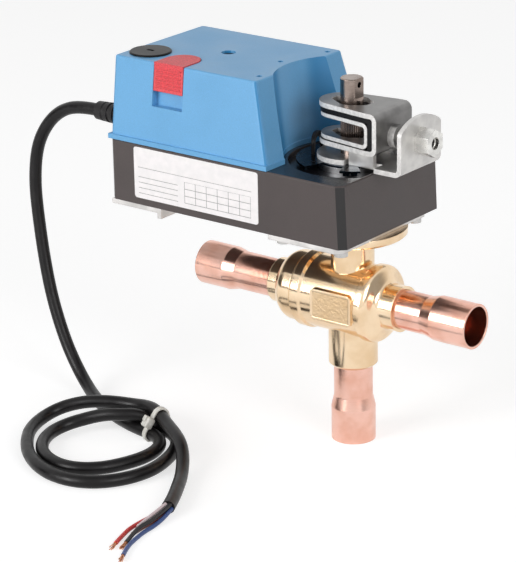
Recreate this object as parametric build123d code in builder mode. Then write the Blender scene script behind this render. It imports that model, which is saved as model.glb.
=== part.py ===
from build123d import *
from math import asin, atan2, cos, pi, radians, sin, sqrt, tan
import os

# Motorized three-way ball valve: a brass valve with copper ends, and an electric
# quarter-turn actuator whose clamp grips the valve's long shaft.
# The origin is the centre of the lower tube's mouth, +Z runs up the shaft,
# +X runs along the actuator towards the clamp bolt, and -Y is the front.

# Copper tubes
TUBE_OD = 16.0
TUBE_WALL = 1.1
SOCKET_CLEARANCE = 0.05
SWAGE_LENGTH = 5.0
LEFT_SOCKET_DEPTH = 14.0
RIGHT_SOCKET_DEPTH = 16.5
BRANCH_SOCKET_DEPTH = 14.0
BRAZE_DEPTH = 10.0

# Valve body
RUN_Z = 61.0
LEFT_END = 74.7
RIGHT_END = 59.0
BARREL_R = 15.2
BODY_RIM_R = 16.0
BODY_LEFT_X = -21.0
BODY_RIGHT_X = 25.0
COLLAR_R = 9.4
CONNECTOR_R = 14.7
CONNECTOR_LEFT_X = -37.0
BOSS_R = 10.1
BOSS_BOTTOM_Z = 32.6
NECK_R = 8.8
NECK_TOP_Z = 86.0
GLAND_NUT_BOTTOM_Z = 80.0
GLAND_NUT_R = 6.6
CAVITY_R = 12.4
PORT_R = 6.6
PAD_LENGTH = 20.0
PAD_HEIGHT = 13.0
PAD_RAISE = 0.7

# Ball, seats and shaft
BALL_R = 11.0
BALL_BORE_R = 6.0
SEAT_CLEARANCE = 0.1
SEAT_FACE_X = 7.9
SHAFT_R = 4.6
SHAFT_TOP_Z = 152.9
SHAFT_CLEARANCE = 0.06
TANG_WIDTH = 4.0
TANG_DEPTH = 3.0
STEM_COLLAR_R = 6.2
STEM_COLLAR_HEIGHT = 2.0
FLAT_DEPTH = 1.0
FLAT_LENGTH = 9.5
CROSS_HOLE_R = 1.2
CROSS_HOLE_DROP = 2.7
SEAL_SECTION = 1.6
SEAL_ZS = (76.2, 78.8)
GROOVE_DEPTH = 0.9

# Flange and steel plates
FLANGE_R = 22.2
FLANGE_THICK = 3.4
FLANGE_SCREW_R = FLANGE_R - 6.7
SPIGOT_R = 8.0
PLATE_THICK = 2.0
PLATE_LEFT_X = -17.0
PLATE_RIGHT_X = 18.0
PLATE_CORNER = 9.0
BRACKET_LENGTH = 25.0
BRACKET_STEP = 2.2

# Actuator housing
HOUSING_LEFT_X = -98.7
HOUSING_RIGHT_X = 19.7
HOUSING_HALF = 33.5
HOUSING_BOTTOM_Z = 93.8
DECK_Z = 119.5
DECK_THICK = 2.4
DECK_LEFT_X = -30.8
END_DRAFT = 1.2
WALL = 2.2
CORNER_CHAMFER = 2.6
RECESS_R = 25.6
RECESS_DEPTH = 2.3

# Cover
COVER_TOP_Z = 153.6
COVER_DRAFT = 5.0
COVER_RIGHT_X = -17.4
COVER_END_SLOPE = 8.2
COVER_RIM = 2.0
COVER_RIM_STEP = 0.7
SWEEP_R_LOW = 27.4
SWEEP_R_HIGH = 31.0
COVER_ROUND = 1.6
COVER_CROWN = 0.9

# Release slider, and the plug beside it
PLUG_X = HOUSING_LEFT_X + 10.5
PLUG_Y = 16.2 - HOUSING_HALF
SLIDER_X = PLUG_X + 18.9
SLIDER_WIDTH = 15.0
SLIDER_LOBE_Y = 20.8 - HOUSING_HALF
SLIDER_TAB_HEIGHT = 11.4
SLIDER_TRAVEL = 6.0
SLIDER_THICK = 2.6
SLIDER_GAP = 0.25
SLIDER_WELL_WALL = 1.6

# Top details
PLUG_R = 8.7
PLUG_STEM_R = 7.2
ADJUSTER_X = SLIDER_X + 7.8
ADJUSTER_R = 3.0
COVER_SCREW_SPOTS = (
    (COVER_RIGHT_X - 18.1, 0.6),
    (COVER_RIGHT_X - 11.8, 12.0 - HOUSING_HALF),
    (COVER_RIGHT_X - 11.4, HOUSING_HALF - 10.3),
)
COVER_SCREW_R = 1.15

# Drive inside the housing
HUB_R = 13.8
HUB_BORE_CLEARANCE = 0.1
HUB_SEAT_R = 9.5
GEAR_MODULE = 1.0
SECTOR_TEETH = 44
IDLER_PINION_TEETH = 12
WHEEL_MODULE = 0.8
WHEEL_TEETH = 40
MOTOR_TEETH = 10
SECTOR_COUNT = 15
TOOTH_SHARE = 0.84
ADDENDUM = 0.8
DEDENDUM = 1.15
GEAR_THICK = 4.0
AXLE_R = 1.5
AXLE_CLEARANCE = 0.05
MOTOR_R = 16.0
MOTOR_HEIGHT = 19.0
MOTOR_SHAFT_R = 1.0
PILLAR_R = 2.6
BOARD_THICK = 1.6

# Shaft clamp
SHEET = 2.0
STRAP_HALF = 12.2
YOKE_TOP_Z = 143.4
YOKE_HEIGHT = 17.2
YOKE_REACH = 20.2
INSERT_HEIGHT = 10.6
INSERT_SHEET = 1.6
INSERT_REACH = 15.8
INSERT_LIFT = 2.35
LINER_GAP = 0.15
CLAMP_BASE_Z = 120.3
CLAMP_FLANGE_Y = 9.6
TAB_X = 33.0
TAB_HALF = 13.6
TAB_TOP_Z = 142.6
BEND_R = 1.2
CHEEK_BEND_R = 0.6
BOLT_Z = 132.4
BOLT_R = 3.0
BOLT_HEAD_AF = 10.0
BOLT_HEAD_HEIGHT = 6.6
STRAP_FRONT_X = 14.4
YOKE_LOBE_X = -4.0
YOKE_LOBE_R = 9.6
BASE_LOBE_X = -1.5
BASE_LOBE_R = 12.8
BASE_BEND_R = 1.4
NOTCH_X = 4.2
CHEEK_LEFT_X = 5.2
CHEEK_RIGHT_X = 17.0
SHOULDER_X = 20.0
COLLAR_ROUND_R = 4.75
COLLAR_REACH = 3.0
INDICATOR_R = 22.3
INDICATOR_THICK = 0.9
INDICATOR_LOBE = (135.0, 250.0)
TONGUE_R = 19.8
TONGUE = (291.0, 315.0)
FINGER_PLACES = ((21.0, 243.0), (18.6, 298.0), (18.6, 308.0))
FINGER_WIDTH = 2.4
FINGER_DROP = 1.3
POINTER_R = 15.0
POINTER_THICK = 1.4
POINTER_SPAN = (170.0, 209.0)
POINTER_HEIGHT = 8.5

# Cable
CABLE_D = 5.4
GLAND_Y = -17.3
GLAND_Z = 124.3
GLAND_LENGTH = 18.5
GLAND_R = 4.7
WIRE_D = 1.7
COIL_X = -78.0
COIL_Y = -69.0
COIL_ANGLE = -46.2
COIL_LONG = 46.5
COIL_SHORT = 36.0
COIL_HOLE_LONG = 28.0
COIL_HOLE_SHORT = 21.0
COIL_HEIGHT = 10.8
TIE_X = -65.9
TIE_Y = -42.1
TIE_ANGLE = 66.0
TIE_SPAN = 17.6
TIE_WIDTH = 4.6
TIE_THICK = 1.0
TIE_HEAD_LENGTH = 5.0
TIE_HEAD_HEIGHT = 3.4
CONDUCTOR_RING_R = 1.5

swage_r = TUBE_OD / 2 + SOCKET_CLEARANCE + TUBE_WALL
socket_r = TUBE_OD / 2 + SOCKET_CLEARANCE
hub_top_z = CLAMP_BASE_Z - INDICATOR_THICK
recess_z = DECK_Z - RECESS_DEPTH
floor_z = HOUSING_BOTTOM_Z + WALL
flange_top_z = HOUSING_BOTTOM_Z - PLATE_THICK
flange_bottom_z = flange_top_z - FLANGE_THICK
stem_bore_r = SHAFT_R + SHAFT_CLEARANCE


def copper_tube(length, socket_depth):
    """Tube along +Z: swaged mouth at z = 0, plain end at z = length."""
    inner_r = TUBE_OD / 2 - TUBE_WALL
    with BuildPart() as tube:
        with BuildSketch(Plane.XZ):
            with BuildLine():
                Polyline(
                    (socket_r, 0),
                    (swage_r, 0),
                    (swage_r, socket_depth),
                    (TUBE_OD / 2, socket_depth + SWAGE_LENGTH),
                    (TUBE_OD / 2, length),
                    (inner_r, length),
                    (inner_r, socket_depth + SWAGE_LENGTH),
                    (socket_r, socket_depth),
                    close=True,
                )
            make_face()
        revolve(axis=Axis.Z)
        shoulder = tube.edges().filter_by(GeomType.CIRCLE).group_by(Axis.Z)[1:3]
        outer = [e for group in shoulder for e in group if e.radius > TUBE_OD / 2 - 0.01]
        fillet(outer, 1.5)
    return tube.part


# Run along X: the barrel with its rims, the right-hand collar and the ports
right_tube_end = BODY_RIGHT_X - BRAZE_DEPTH
connector_tube_end = CONNECTOR_LEFT_X + BRAZE_DEPTH
branch_tube_end = BOSS_BOTTOM_Z + BRAZE_DEPTH
right_seat_x = BALL_R * 0.95
left_seat_x = -right_seat_x

with BuildPart() as valve_body:
    with BuildSketch(Plane.XZ) as body_profile:
        with BuildLine():
            Polyline((BODY_LEFT_X, RUN_Z), (BODY_LEFT_X, RUN_Z + BODY_RIM_R - 0.6))
            Line((BODY_LEFT_X, RUN_Z + BODY_RIM_R - 0.6), (BODY_LEFT_X + 0.6, RUN_Z + BODY_RIM_R))
            Line((BODY_LEFT_X + 0.6, RUN_Z + BODY_RIM_R), (-16.6, RUN_Z + BODY_RIM_R))
            Line((-16.6, RUN_Z + BODY_RIM_R), (-15.6, RUN_Z + BARREL_R))
            Line((-15.6, RUN_Z + BARREL_R), (10.6, RUN_Z + BARREL_R))
            Line((10.6, RUN_Z + BARREL_R), (11.2, RUN_Z + BODY_RIM_R))
            Line((11.2, RUN_Z + BODY_RIM_R), (13.0, RUN_Z + BODY_RIM_R))
            Spline(
                (13.0, RUN_Z + BODY_RIM_R),
                (15.8, RUN_Z + 14.2),
                (17.6, RUN_Z + COLLAR_R + 0.9),
                (19.4, RUN_Z + COLLAR_R),
                tangents=((1, 0), (1, 0)),
            )
            Line((19.4, RUN_Z + COLLAR_R), (BODY_RIGHT_X, RUN_Z + COLLAR_R))
            Line((BODY_RIGHT_X, RUN_Z + COLLAR_R), (BODY_RIGHT_X, RUN_Z))
            Line((BODY_RIGHT_X, RUN_Z), (BODY_LEFT_X, RUN_Z))
        make_face()
    revolve(axis=Axis((0, 0, RUN_Z), (1, 0, 0)))
    # Branch boss and bonnet neck
    with BuildSketch(Plane.XY.offset(BOSS_BOTTOM_Z)):
        Circle(BOSS_R)
    extrude(amount=RUN_Z - BOSS_BOTTOM_Z)
    with BuildSketch(Plane.XY.offset(RUN_Z)):
        Circle(NECK_R)
    extrude(amount=NECK_TOP_Z - RUN_Z)
    boss_end = valve_body.edges().filter_by(GeomType.CIRCLE).sort_by(Axis.Z)[0]
    chamfer(boss_end, 1.0)
    # Raised marking pads, left bare, front and back
    for side in (-1, 1):
        with BuildSketch(Plane((0, side * (BARREL_R + PAD_RAISE), RUN_Z), x_dir=(1, 0, 0), z_dir=(0, side, 0))):
            RectangleRounded(PAD_LENGTH, PAD_HEIGHT, 2.0)
        extrude(amount=-(PAD_RAISE + 3.0))
    # Cavity, run port, sockets and branch port
    with BuildSketch(Plane.YZ.offset(BODY_LEFT_X)):
        with Locations((0, RUN_Z)):
            Circle(CAVITY_R)
    extrude(amount=right_seat_x + 1.5 - BODY_LEFT_X, mode=Mode.SUBTRACT)
    with BuildSketch(Plane.YZ):
        with Locations((0, RUN_Z)):
            Circle(PORT_R)
    extrude(amount=BODY_RIGHT_X, mode=Mode.SUBTRACT)
    with BuildSketch(Plane.YZ.offset(right_tube_end)):
        with Locations((0, RUN_Z)):
            Circle(socket_r)
    extrude(amount=BRAZE_DEPTH, mode=Mode.SUBTRACT)
    with BuildSketch(Plane.XY.offset(BOSS_BOTTOM_Z)):
        Circle(PORT_R)
    extrude(amount=RUN_Z - BOSS_BOTTOM_Z, mode=Mode.SUBTRACT)
    with BuildSketch(Plane.XY.offset(BOSS_BOTTOM_Z)):
        Circle(socket_r)
    extrude(amount=BRAZE_DEPTH, mode=Mode.SUBTRACT)
    # Stem bore, collar pocket and gland pocket
    with BuildSketch(Plane.XY.offset(RUN_Z)):
        Circle(stem_bore_r)
    extrude(amount=NECK_TOP_Z + 10 - RUN_Z, mode=Mode.SUBTRACT)

# Heights that the stem needs, from the cavity roof
collar_bottom_z = RUN_Z + BALL_R + 0.2
tang_bottom_z = RUN_Z + BALL_R - TANG_DEPTH

with BuildPart() as gland_pocket:
    with BuildSketch(Plane.XY.offset(GLAND_NUT_BOTTOM_Z)):
        Circle(GLAND_NUT_R)
    extrude(amount=NECK_TOP_Z - GLAND_NUT_BOTTOM_Z)
    with BuildSketch(Plane.XY.offset(RUN_Z)):
        Circle(STEM_COLLAR_R + 0.1)
    extrude(amount=collar_bottom_z + STEM_COLLAR_HEIGHT - RUN_Z)

valve_body.part = valve_body.part - gland_pocket.part

with BuildPart() as end_connector:
    with BuildSketch(Plane.XZ):
        with BuildLine():
            Line((CONNECTOR_LEFT_X, RUN_Z), (CONNECTOR_LEFT_X, RUN_Z + COLLAR_R - 0.4))
            Line((CONNECTOR_LEFT_X, RUN_Z + COLLAR_R - 0.4), (CONNECTOR_LEFT_X + 0.4, RUN_Z + COLLAR_R))
            Line((CONNECTOR_LEFT_X + 0.4, RUN_Z + COLLAR_R), (-32.4, RUN_Z + COLLAR_R))
            Spline(
                (-32.4, RUN_Z + COLLAR_R),
                (-31.0, RUN_Z + 11.2),
                (-29.0, RUN_Z + 13.5),
                (-25.5, RUN_Z + CONNECTOR_R),
                tangents=((1, 0), (1, 0)),
            )
            Line((-25.5, RUN_Z + CONNECTOR_R), (BODY_LEFT_X - 0.8, RUN_Z + CONNECTOR_R))
            Line((BODY_LEFT_X - 0.8, RUN_Z + CONNECTOR_R), (BODY_LEFT_X, RUN_Z + CONNECTOR_R - 0.8))
            Line((BODY_LEFT_X, RUN_Z + CONNECTOR_R - 0.8), (BODY_LEFT_X, RUN_Z + CAVITY_R - 0.05))
            Line((BODY_LEFT_X, RUN_Z + CAVITY_R - 0.05), (left_seat_x - 1.5, RUN_Z + CAVITY_R - 0.05))
            Line((left_seat_x - 1.5, RUN_Z + CAVITY_R - 0.05), (left_seat_x - 1.5, RUN_Z))
            Line((left_seat_x - 1.5, RUN_Z), (CONNECTOR_LEFT_X, RUN_Z))
        make_face()
    revolve(axis=Axis((0, 0, RUN_Z), (1, 0, 0)))
    with BuildSketch(Plane.YZ.offset(CONNECTOR_LEFT_X)):
        with Locations((0, RUN_Z)):
            Circle(PORT_R)
    extrude(amount=-CONNECTOR_LEFT_X, mode=Mode.SUBTRACT)
    with BuildSketch(Plane.YZ.offset(CONNECTOR_LEFT_X)):
        with Locations((0, RUN_Z)):
            Circle(socket_r)
    extrude(amount=BRAZE_DEPTH, mode=Mode.SUBTRACT)

left_tube = copper_tube(LEFT_END + connector_tube_end, LEFT_SOCKET_DEPTH)
right_tube = copper_tube(RIGHT_END - right_tube_end, RIGHT_SOCKET_DEPTH)
run_tube_left = Location((-LEFT_END, 0, RUN_Z), (0, 90, 0)) * left_tube
run_tube_right = Location((RIGHT_END, 0, RUN_Z), (0, -90, 0)) * right_tube
branch_tube = copper_tube(branch_tube_end, BRANCH_SOCKET_DEPTH)


def seat_ring(side):
    """PTFE ring between the ball and the wall on one side of it."""
    back_x = side * (right_seat_x + 1.45)
    face_x = side * SEAT_FACE_X
    seat_r = BALL_R + SEAT_CLEARANCE
    lip_x = side * sqrt(seat_r ** 2 - PORT_R ** 2)
    rim_r = sqrt(seat_r ** 2 - SEAT_FACE_X ** 2)
    middle = (atan2(PORT_R, abs(lip_x)) + atan2(rim_r, SEAT_FACE_X)) / 2
    with BuildPart() as ring:
        with BuildSketch(Plane.XZ):
            with BuildLine():
                Polyline(
                    (lip_x, RUN_Z + PORT_R),
                    (back_x, RUN_Z + PORT_R),
                    (back_x, RUN_Z + CAVITY_R - 0.1),
                    (face_x, RUN_Z + CAVITY_R - 0.1),
                    (face_x, RUN_Z + rim_r),
                )
                ThreePointArc(
                    (face_x, RUN_Z + rim_r),
                    (side * seat_r * cos(middle), RUN_Z + seat_r * sin(middle)),
                    (lip_x, RUN_Z + PORT_R),
                )
            make_face()
        revolve(axis=Axis((0, 0, RUN_Z), (1, 0, 0)))
    return ring.part


seat_left = seat_ring(-1)
seat_right = seat_ring(1)

# Three bores meet in the ball: below, towards +X, and towards -Y, so that a quarter
# turn joins the lower port to the other end of the run
with BuildPart() as ball:
    with Locations((0, 0, RUN_Z)):
        Sphere(BALL_R)
    with BuildSketch(Plane.YZ):
        with Locations((0, RUN_Z)):
            Circle(BALL_BORE_R)
    extrude(amount=BALL_R + 1, mode=Mode.SUBTRACT)
    with BuildSketch(Plane.XZ):
        with Locations((0, RUN_Z)):
            Circle(BALL_BORE_R)
    extrude(amount=BALL_R + 1, mode=Mode.SUBTRACT)
    with BuildSketch(Plane.XY.offset(RUN_Z)):
        Circle(BALL_BORE_R)
    extrude(amount=-(BALL_R + 1), mode=Mode.SUBTRACT)
    with BuildSketch(Plane.XY.offset(tang_bottom_z - 0.1)):
        Rectangle(TANG_WIDTH + 0.2, 2 * BALL_R)
    extrude(amount=TANG_DEPTH + 1, mode=Mode.SUBTRACT)

# The shaft: tang, blow-out collar, seal grooves, then a long plain shaft with
# a milled flat and a cross hole at its head
with BuildPart() as valve_shaft:
    with BuildSketch(Plane.XY.offset(collar_bottom_z)):
        Circle(SHAFT_R)
    extrude(amount=SHAFT_TOP_Z - collar_bottom_z)
    chamfer(valve_shaft.edges().filter_by(GeomType.CIRCLE).sort_by(Axis.Z)[-1], 0.4)
    with BuildSketch(Plane.XY.offset(collar_bottom_z)):
        Circle(STEM_COLLAR_R)
    extrude(amount=STEM_COLLAR_HEIGHT - 0.1)
    with BuildSketch(Plane.XY.offset(tang_bottom_z)):
        Rectangle(TANG_WIDTH, 1.8 * SHAFT_R)
    extrude(amount=collar_bottom_z - tang_bottom_z)
    for seal_z in SEAL_ZS:
        with BuildSketch(Plane.XY.offset(seal_z)):
            Circle(SHAFT_R + 1)
            Circle(SHAFT_R - GROOVE_DEPTH, mode=Mode.SUBTRACT)
        extrude(amount=SEAL_SECTION, mode=Mode.SUBTRACT)
    # Flat on the +X side, with a rounded runout, and the cross hole through it
    with BuildSketch(Plane.XZ):
        with BuildLine():
            flat_x = SHAFT_R - FLAT_DEPTH
            Polyline(
                (flat_x, SHAFT_TOP_Z + 1),
                (flat_x, SHAFT_TOP_Z - FLAT_LENGTH + 1.5),
                (SHAFT_R + 0.5, SHAFT_TOP_Z - FLAT_LENGTH),
                (SHAFT_R + 0.5, SHAFT_TOP_Z + 1),
                close=True,
            )
        make_face()
    extrude(amount=SHAFT_R, both=True, mode=Mode.SUBTRACT)
    with BuildSketch(Plane.YZ):
        with Locations((0, SHAFT_TOP_Z - CROSS_HOLE_DROP)):
            Circle(CROSS_HOLE_R)
    extrude(amount=2 * SHAFT_R, both=True, mode=Mode.SUBTRACT)

with BuildPart() as stem_seals:
    for seal_z in SEAL_ZS:
        with BuildSketch(Plane.XY.offset(seal_z + 0.05)):
            Circle(stem_bore_r - 0.03)
            Circle(SHAFT_R - GROOVE_DEPTH + 0.02, mode=Mode.SUBTRACT)
        extrude(amount=SEAL_SECTION - 0.1)

with BuildPart() as gland_nut:
    with BuildSketch(Plane.XY.offset(GLAND_NUT_BOTTOM_Z)):
        Circle(GLAND_NUT_R - 0.05)
        Circle(stem_bore_r + 0.04, mode=Mode.SUBTRACT)
    extrude(amount=NECK_TOP_Z - GLAND_NUT_BOTTOM_Z)
    with BuildSketch(Plane.XY.offset(NECK_TOP_Z)):
        Rectangle(2.2, 2 * GLAND_NUT_R)
    extrude(amount=-1.6, mode=Mode.SUBTRACT)

# Round flange on the neck: its skirt screws over the neck's top
with BuildPart() as bonnet_flange:
    with BuildSketch(Plane.XZ):
        with BuildLine():
            Polyline(
                (GLAND_NUT_R + 0.3, NECK_TOP_Z),
                (NECK_R, NECK_TOP_Z),
                (NECK_R, flange_bottom_z),
                (FLANGE_R - 0.8, flange_bottom_z),
                (FLANGE_R, flange_bottom_z + 0.8),
                (FLANGE_R, flange_top_z),
                (GLAND_NUT_R + 0.3, flange_top_z),
                close=True,
            )
        make_face()
    revolve(axis=Axis.Z)
    with BuildSketch(Plane.XY.offset(flange_top_z)):
        with PolarLocations(FLANGE_SCREW_R, 4, start_angle=45):
            Circle(1.65)
    extrude(amount=-FLANGE_THICK, mode=Mode.SUBTRACT)

with BuildPart() as flange_screws:
    with PolarLocations(FLANGE_SCREW_R, 4, start_angle=45):
        with Locations((0, 0, HOUSING_BOTTOM_Z - PLATE_THICK / 2)):
            Cone(1.6, 2.9, 1.5)
        with Locations((0, 0, flange_top_z - FLANGE_THICK / 2 + 0.4)):
            Cylinder(1.6, FLANGE_THICK)

plate_screw_left_x = PLATE_LEFT_X + 4
plate_screw_right_x = PLATE_RIGHT_X - 3
plate_screw_spots = (
    (plate_screw_right_x, 5 - HOUSING_HALF),
    (plate_screw_right_x, HOUSING_HALF - 11.5),
    (plate_screw_left_x, 5 - HOUSING_HALF),
    (plate_screw_left_x, HOUSING_HALF - 11),
)
with BuildPart() as mounting_plate:
    with BuildSketch(Plane.XY.offset(flange_top_z)):
        with BuildLine():
            Polyline(
                (PLATE_LEFT_X, -HOUSING_HALF),
                (PLATE_RIGHT_X - 3, -HOUSING_HALF),
                (PLATE_RIGHT_X, -HOUSING_HALF + 3),
                (PLATE_RIGHT_X, HOUSING_HALF - PLATE_CORNER),
                (PLATE_RIGHT_X - PLATE_CORNER, HOUSING_HALF),
                (PLATE_LEFT_X, HOUSING_HALF),
                close=True,
            )
        make_face()
        Circle(SPIGOT_R, mode=Mode.SUBTRACT)
        with Locations(*plate_screw_spots):
            Circle(1.6, mode=Mode.SUBTRACT)
    extrude(amount=PLATE_THICK)
    with PolarLocations(FLANGE_SCREW_R, 4, start_angle=45):
        with Locations((0, 0, HOUSING_BOTTOM_Z - PLATE_THICK / 2)):
            Cone(1.7, 3.1, PLATE_THICK, mode=Mode.SUBTRACT)

with BuildPart() as plate_screws:
    with Locations(*[(x, y, flange_top_z - 1.0) for x, y in plate_screw_spots]):
        Cylinder(2.7, 2.0)
        Cylinder(1.2, 1.2, align=(Align.CENTER, Align.CENTER, Align.MAX), mode=Mode.SUBTRACT)
    with Locations(*[(x, y, flange_top_z) for x, y in plate_screw_spots]):
        Cylinder(1.5, 7.0, align=(Align.CENTER, Align.CENTER, Align.MIN))

bracket_right_x = HOUSING_LEFT_X + BRACKET_LENGTH
bracket_screw_x = HOUSING_LEFT_X + 6.7
bracket_screw_y = HOUSING_HALF - 7.5
bracket_screw_spots = ((bracket_screw_x, -bracket_screw_y), (bracket_screw_x, bracket_screw_y))
with BuildPart() as left_bracket:
    with BuildSketch(Plane.XZ.offset(-HOUSING_HALF)):
        with BuildLine():
            Polyline(
                (HOUSING_LEFT_X + 1, HOUSING_BOTTOM_Z),
                (bracket_right_x + 2, HOUSING_BOTTOM_Z),
                (bracket_right_x + 2, HOUSING_BOTTOM_Z - SHEET - BRACKET_STEP),
                (bracket_right_x, HOUSING_BOTTOM_Z - SHEET - BRACKET_STEP),
                (bracket_right_x, HOUSING_BOTTOM_Z - SHEET),
                (HOUSING_LEFT_X + 1, HOUSING_BOTTOM_Z - SHEET),
                close=True,
            )
        make_face()
    extrude(amount=2 * HOUSING_HALF)
    with BuildSketch(Plane.XY.offset(HOUSING_BOTTOM_Z)):
        with Locations(*bracket_screw_spots):
            Circle(1.6)
    extrude(amount=-SHEET, mode=Mode.SUBTRACT)

with BuildPart() as bracket_screws:
    with Locations(*[(x, y, HOUSING_BOTTOM_Z - SHEET - 1.0) for x, y in bracket_screw_spots]):
        Cylinder(2.7, 2.0)
    with Locations(*[(x, y, HOUSING_BOTTOM_Z - SHEET) for x, y in bracket_screw_spots]):
        Cylinder(1.5, 7.0, align=(Align.CENTER, Align.CENTER, Align.MIN))

# Gear sizes
sector_r = GEAR_MODULE * SECTOR_TEETH / 2
pinion_r = GEAR_MODULE * IDLER_PINION_TEETH / 2
wheel_r = WHEEL_MODULE * WHEEL_TEETH / 2
motor_pinion_r = WHEEL_MODULE * MOTOR_TEETH / 2
idler_x = -(sector_r + pinion_r)
motor_x = idler_x - (wheel_r + motor_pinion_r)
wheel_z = floor_z + 2.2
sector_z = wheel_z + GEAR_THICK + 0.8
gear_plate_z = sector_z + GEAR_THICK + 1.0
gear_plate_thick = 1.5
pillar_left_x = motor_x - MOTOR_R - 1.5
pillar_right_x = idler_x + 6.5
pillar_left_y = HOUSING_HALF - 11.5
pillar_right_y = HOUSING_HALF - 8.5
pillar_spots = (
    (pillar_left_x, -pillar_left_y),
    (pillar_left_x, pillar_left_y),
    (pillar_right_x, -pillar_right_y),
    (pillar_right_x, pillar_right_y),
)
board_x = HOUSING_LEFT_X + 24.7
board_y = 1.0
board_posts = [
    (x, y)
    for x in (board_x - 17, board_x)
    for y in (11.5 - HOUSING_HALF, HOUSING_HALF - 9.5)
]
board_z = DECK_Z + 14.5

with BuildPart() as gearbox_housing:
    # Outer block, with a slight draft on the clamp end
    with BuildSketch(Plane.XZ.offset(-HOUSING_HALF)):
        with BuildLine():
            Polyline(
                (HOUSING_LEFT_X, HOUSING_BOTTOM_Z),
                (HOUSING_RIGHT_X, HOUSING_BOTTOM_Z),
                (HOUSING_RIGHT_X - END_DRAFT, DECK_Z),
                (HOUSING_LEFT_X, DECK_Z),
                close=True,
            )
        make_face()
    extrude(amount=2 * HOUSING_HALF)
    upright = gearbox_housing.edges().filter_by(lambda e: abs((e @ 1 - e @ 0).Z) > (DECK_Z - HOUSING_BOTTOM_Z) / 2)
    chamfer(upright, CORNER_CHAMFER)
    deck_edges = gearbox_housing.faces().sort_by(Axis.Z)[-1].edges()
    chamfer(deck_edges, 0.5)
    # One void: open under the cover, roofed by the deck on the right
    with BuildSketch(Plane.XZ.offset(-HOUSING_HALF + WALL)):
        with BuildLine():
            Polyline(
                (HOUSING_LEFT_X + WALL, floor_z),
                (HOUSING_RIGHT_X - END_DRAFT - WALL, floor_z),
                (HOUSING_RIGHT_X - END_DRAFT - WALL, recess_z - DECK_THICK),
                (DECK_LEFT_X, recess_z - DECK_THICK),
                (DECK_LEFT_X, DECK_Z),
                (HOUSING_LEFT_X + WALL, DECK_Z),
                close=True,
            )
        make_face()
    extrude(amount=2 * (HOUSING_HALF - WALL), mode=Mode.SUBTRACT)
    # Round recess in the deck, hub hole and floor hole
    with BuildSketch(Plane.XY.offset(DECK_Z)):
        Circle(RECESS_R)
        with Locations((HOUSING_RIGHT_X + 8.0, 0)):
            Rectangle(20.0, 60.0, mode=Mode.SUBTRACT)
    extrude(amount=-RECESS_DEPTH, mode=Mode.SUBTRACT)
    with BuildSketch(Plane.XY.offset(DECK_Z)):
        Circle(HUB_R + 0.08)
    extrude(amount=-(RECESS_DEPTH + DECK_THICK), mode=Mode.SUBTRACT)
    with BuildSketch(Plane.XY.offset(HOUSING_BOTTOM_Z)):
        Circle(SPIGOT_R)
    extrude(amount=WALL, mode=Mode.SUBTRACT)
    # Pillars for the gear plate, posts for the board, and the axle boss
    with Locations(*[(x, y, floor_z) for x, y in pillar_spots]):
        Cylinder(PILLAR_R, gear_plate_z - floor_z, align=(Align.CENTER, Align.CENTER, Align.MIN))
    with Locations(*[(x, y, floor_z) for x, y in board_posts]):
        Cylinder(2.0, board_z - floor_z, align=(Align.CENTER, Align.CENTER, Align.MIN))
    with Locations((idler_x, 0, floor_z)):
        Cylinder(4.0, 2.0, align=(Align.CENTER, Align.CENTER, Align.MIN))
        Cylinder(AXLE_R, 2.0, align=(Align.CENTER, Align.CENTER, Align.MIN), mode=Mode.SUBTRACT)
    # Threaded holes for the screws from below
    with Locations(*[(x, y, HOUSING_BOTTOM_Z) for x, y in plate_screw_spots + bracket_screw_spots]):
        Cylinder(3.2, 7.5, align=(Align.CENTER, Align.CENTER, Align.MIN))
        Cylinder(1.55, 5.6, align=(Align.CENTER, Align.CENTER, Align.MIN), mode=Mode.SUBTRACT)


def cover_block(inset, base_z, corner, crown):
    """The cover's drafted block, inset evenly, rounded, then cut by the clamp's swept cone."""
    low_right = COVER_RIGHT_X - inset
    high_right = COVER_RIGHT_X - COVER_END_SLOPE - inset
    left = HOUSING_LEFT_X + COVER_RIM_STEP + inset
    low_half = HOUSING_HALF - COVER_RIM_STEP - inset
    high_half = low_half - COVER_DRAFT + COVER_RIM_STEP
    top_z = COVER_TOP_Z - inset
    with BuildPart() as block:
        with BuildSketch(Plane.XY.offset(base_z)):
            with Locations(((left + low_right) / 2, 0)):
                Rectangle(low_right - left, 2 * low_half)
        with BuildSketch(Plane.XY.offset(top_z)):
            with Locations(((left + high_right) / 2, 0)):
                Rectangle(high_right - left, 2 * high_half)
        loft(ruled=True)
        if corner > 0:
            fillet(block.edges().filter_by(lambda e: abs((e @ 1 - e @ 0).Z) > (top_z - base_z) / 2), corner)
        if crown > 0:
            fillet(block.faces().sort_by(Axis.Z)[-1].edges(), crown)
        with Locations((0, 0, DECK_Z)):
            Cone(
                SWEEP_R_LOW + inset,
                SWEEP_R_HIGH + inset,
                COVER_TOP_Z - DECK_Z,
                align=(Align.CENTER, Align.CENTER, Align.MIN),
                mode=Mode.SUBTRACT,
            )
    return block.part


lobe_r = SLIDER_WIDTH / 2
pocket_floor_z = COVER_TOP_Z - SLIDER_TRAVEL - SLIDER_THICK - 1.2
channel_floor_z = COVER_TOP_Z - SLIDER_TAB_HEIGHT - SLIDER_TRAVEL - 0.4
channel_depth = SLIDER_THICK + 0.5


def slider_outline(grow):
    """Plan of the slider's lobe: straight sides and a half-round end."""
    with BuildSketch() as outline:
        with Locations((SLIDER_X, SLIDER_LOBE_Y - lobe_r)):
            Circle(lobe_r + grow)
        with Locations((SLIDER_X, (SLIDER_LOBE_Y - lobe_r - HOUSING_HALF - 2) / 2)):
            Rectangle(2 * (lobe_r + grow), HOUSING_HALF + 2 + SLIDER_LOBE_Y - lobe_r)
    return outline.sketch


front_plane_y = -(HOUSING_HALF - COVER_RIM_STEP)


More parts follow.
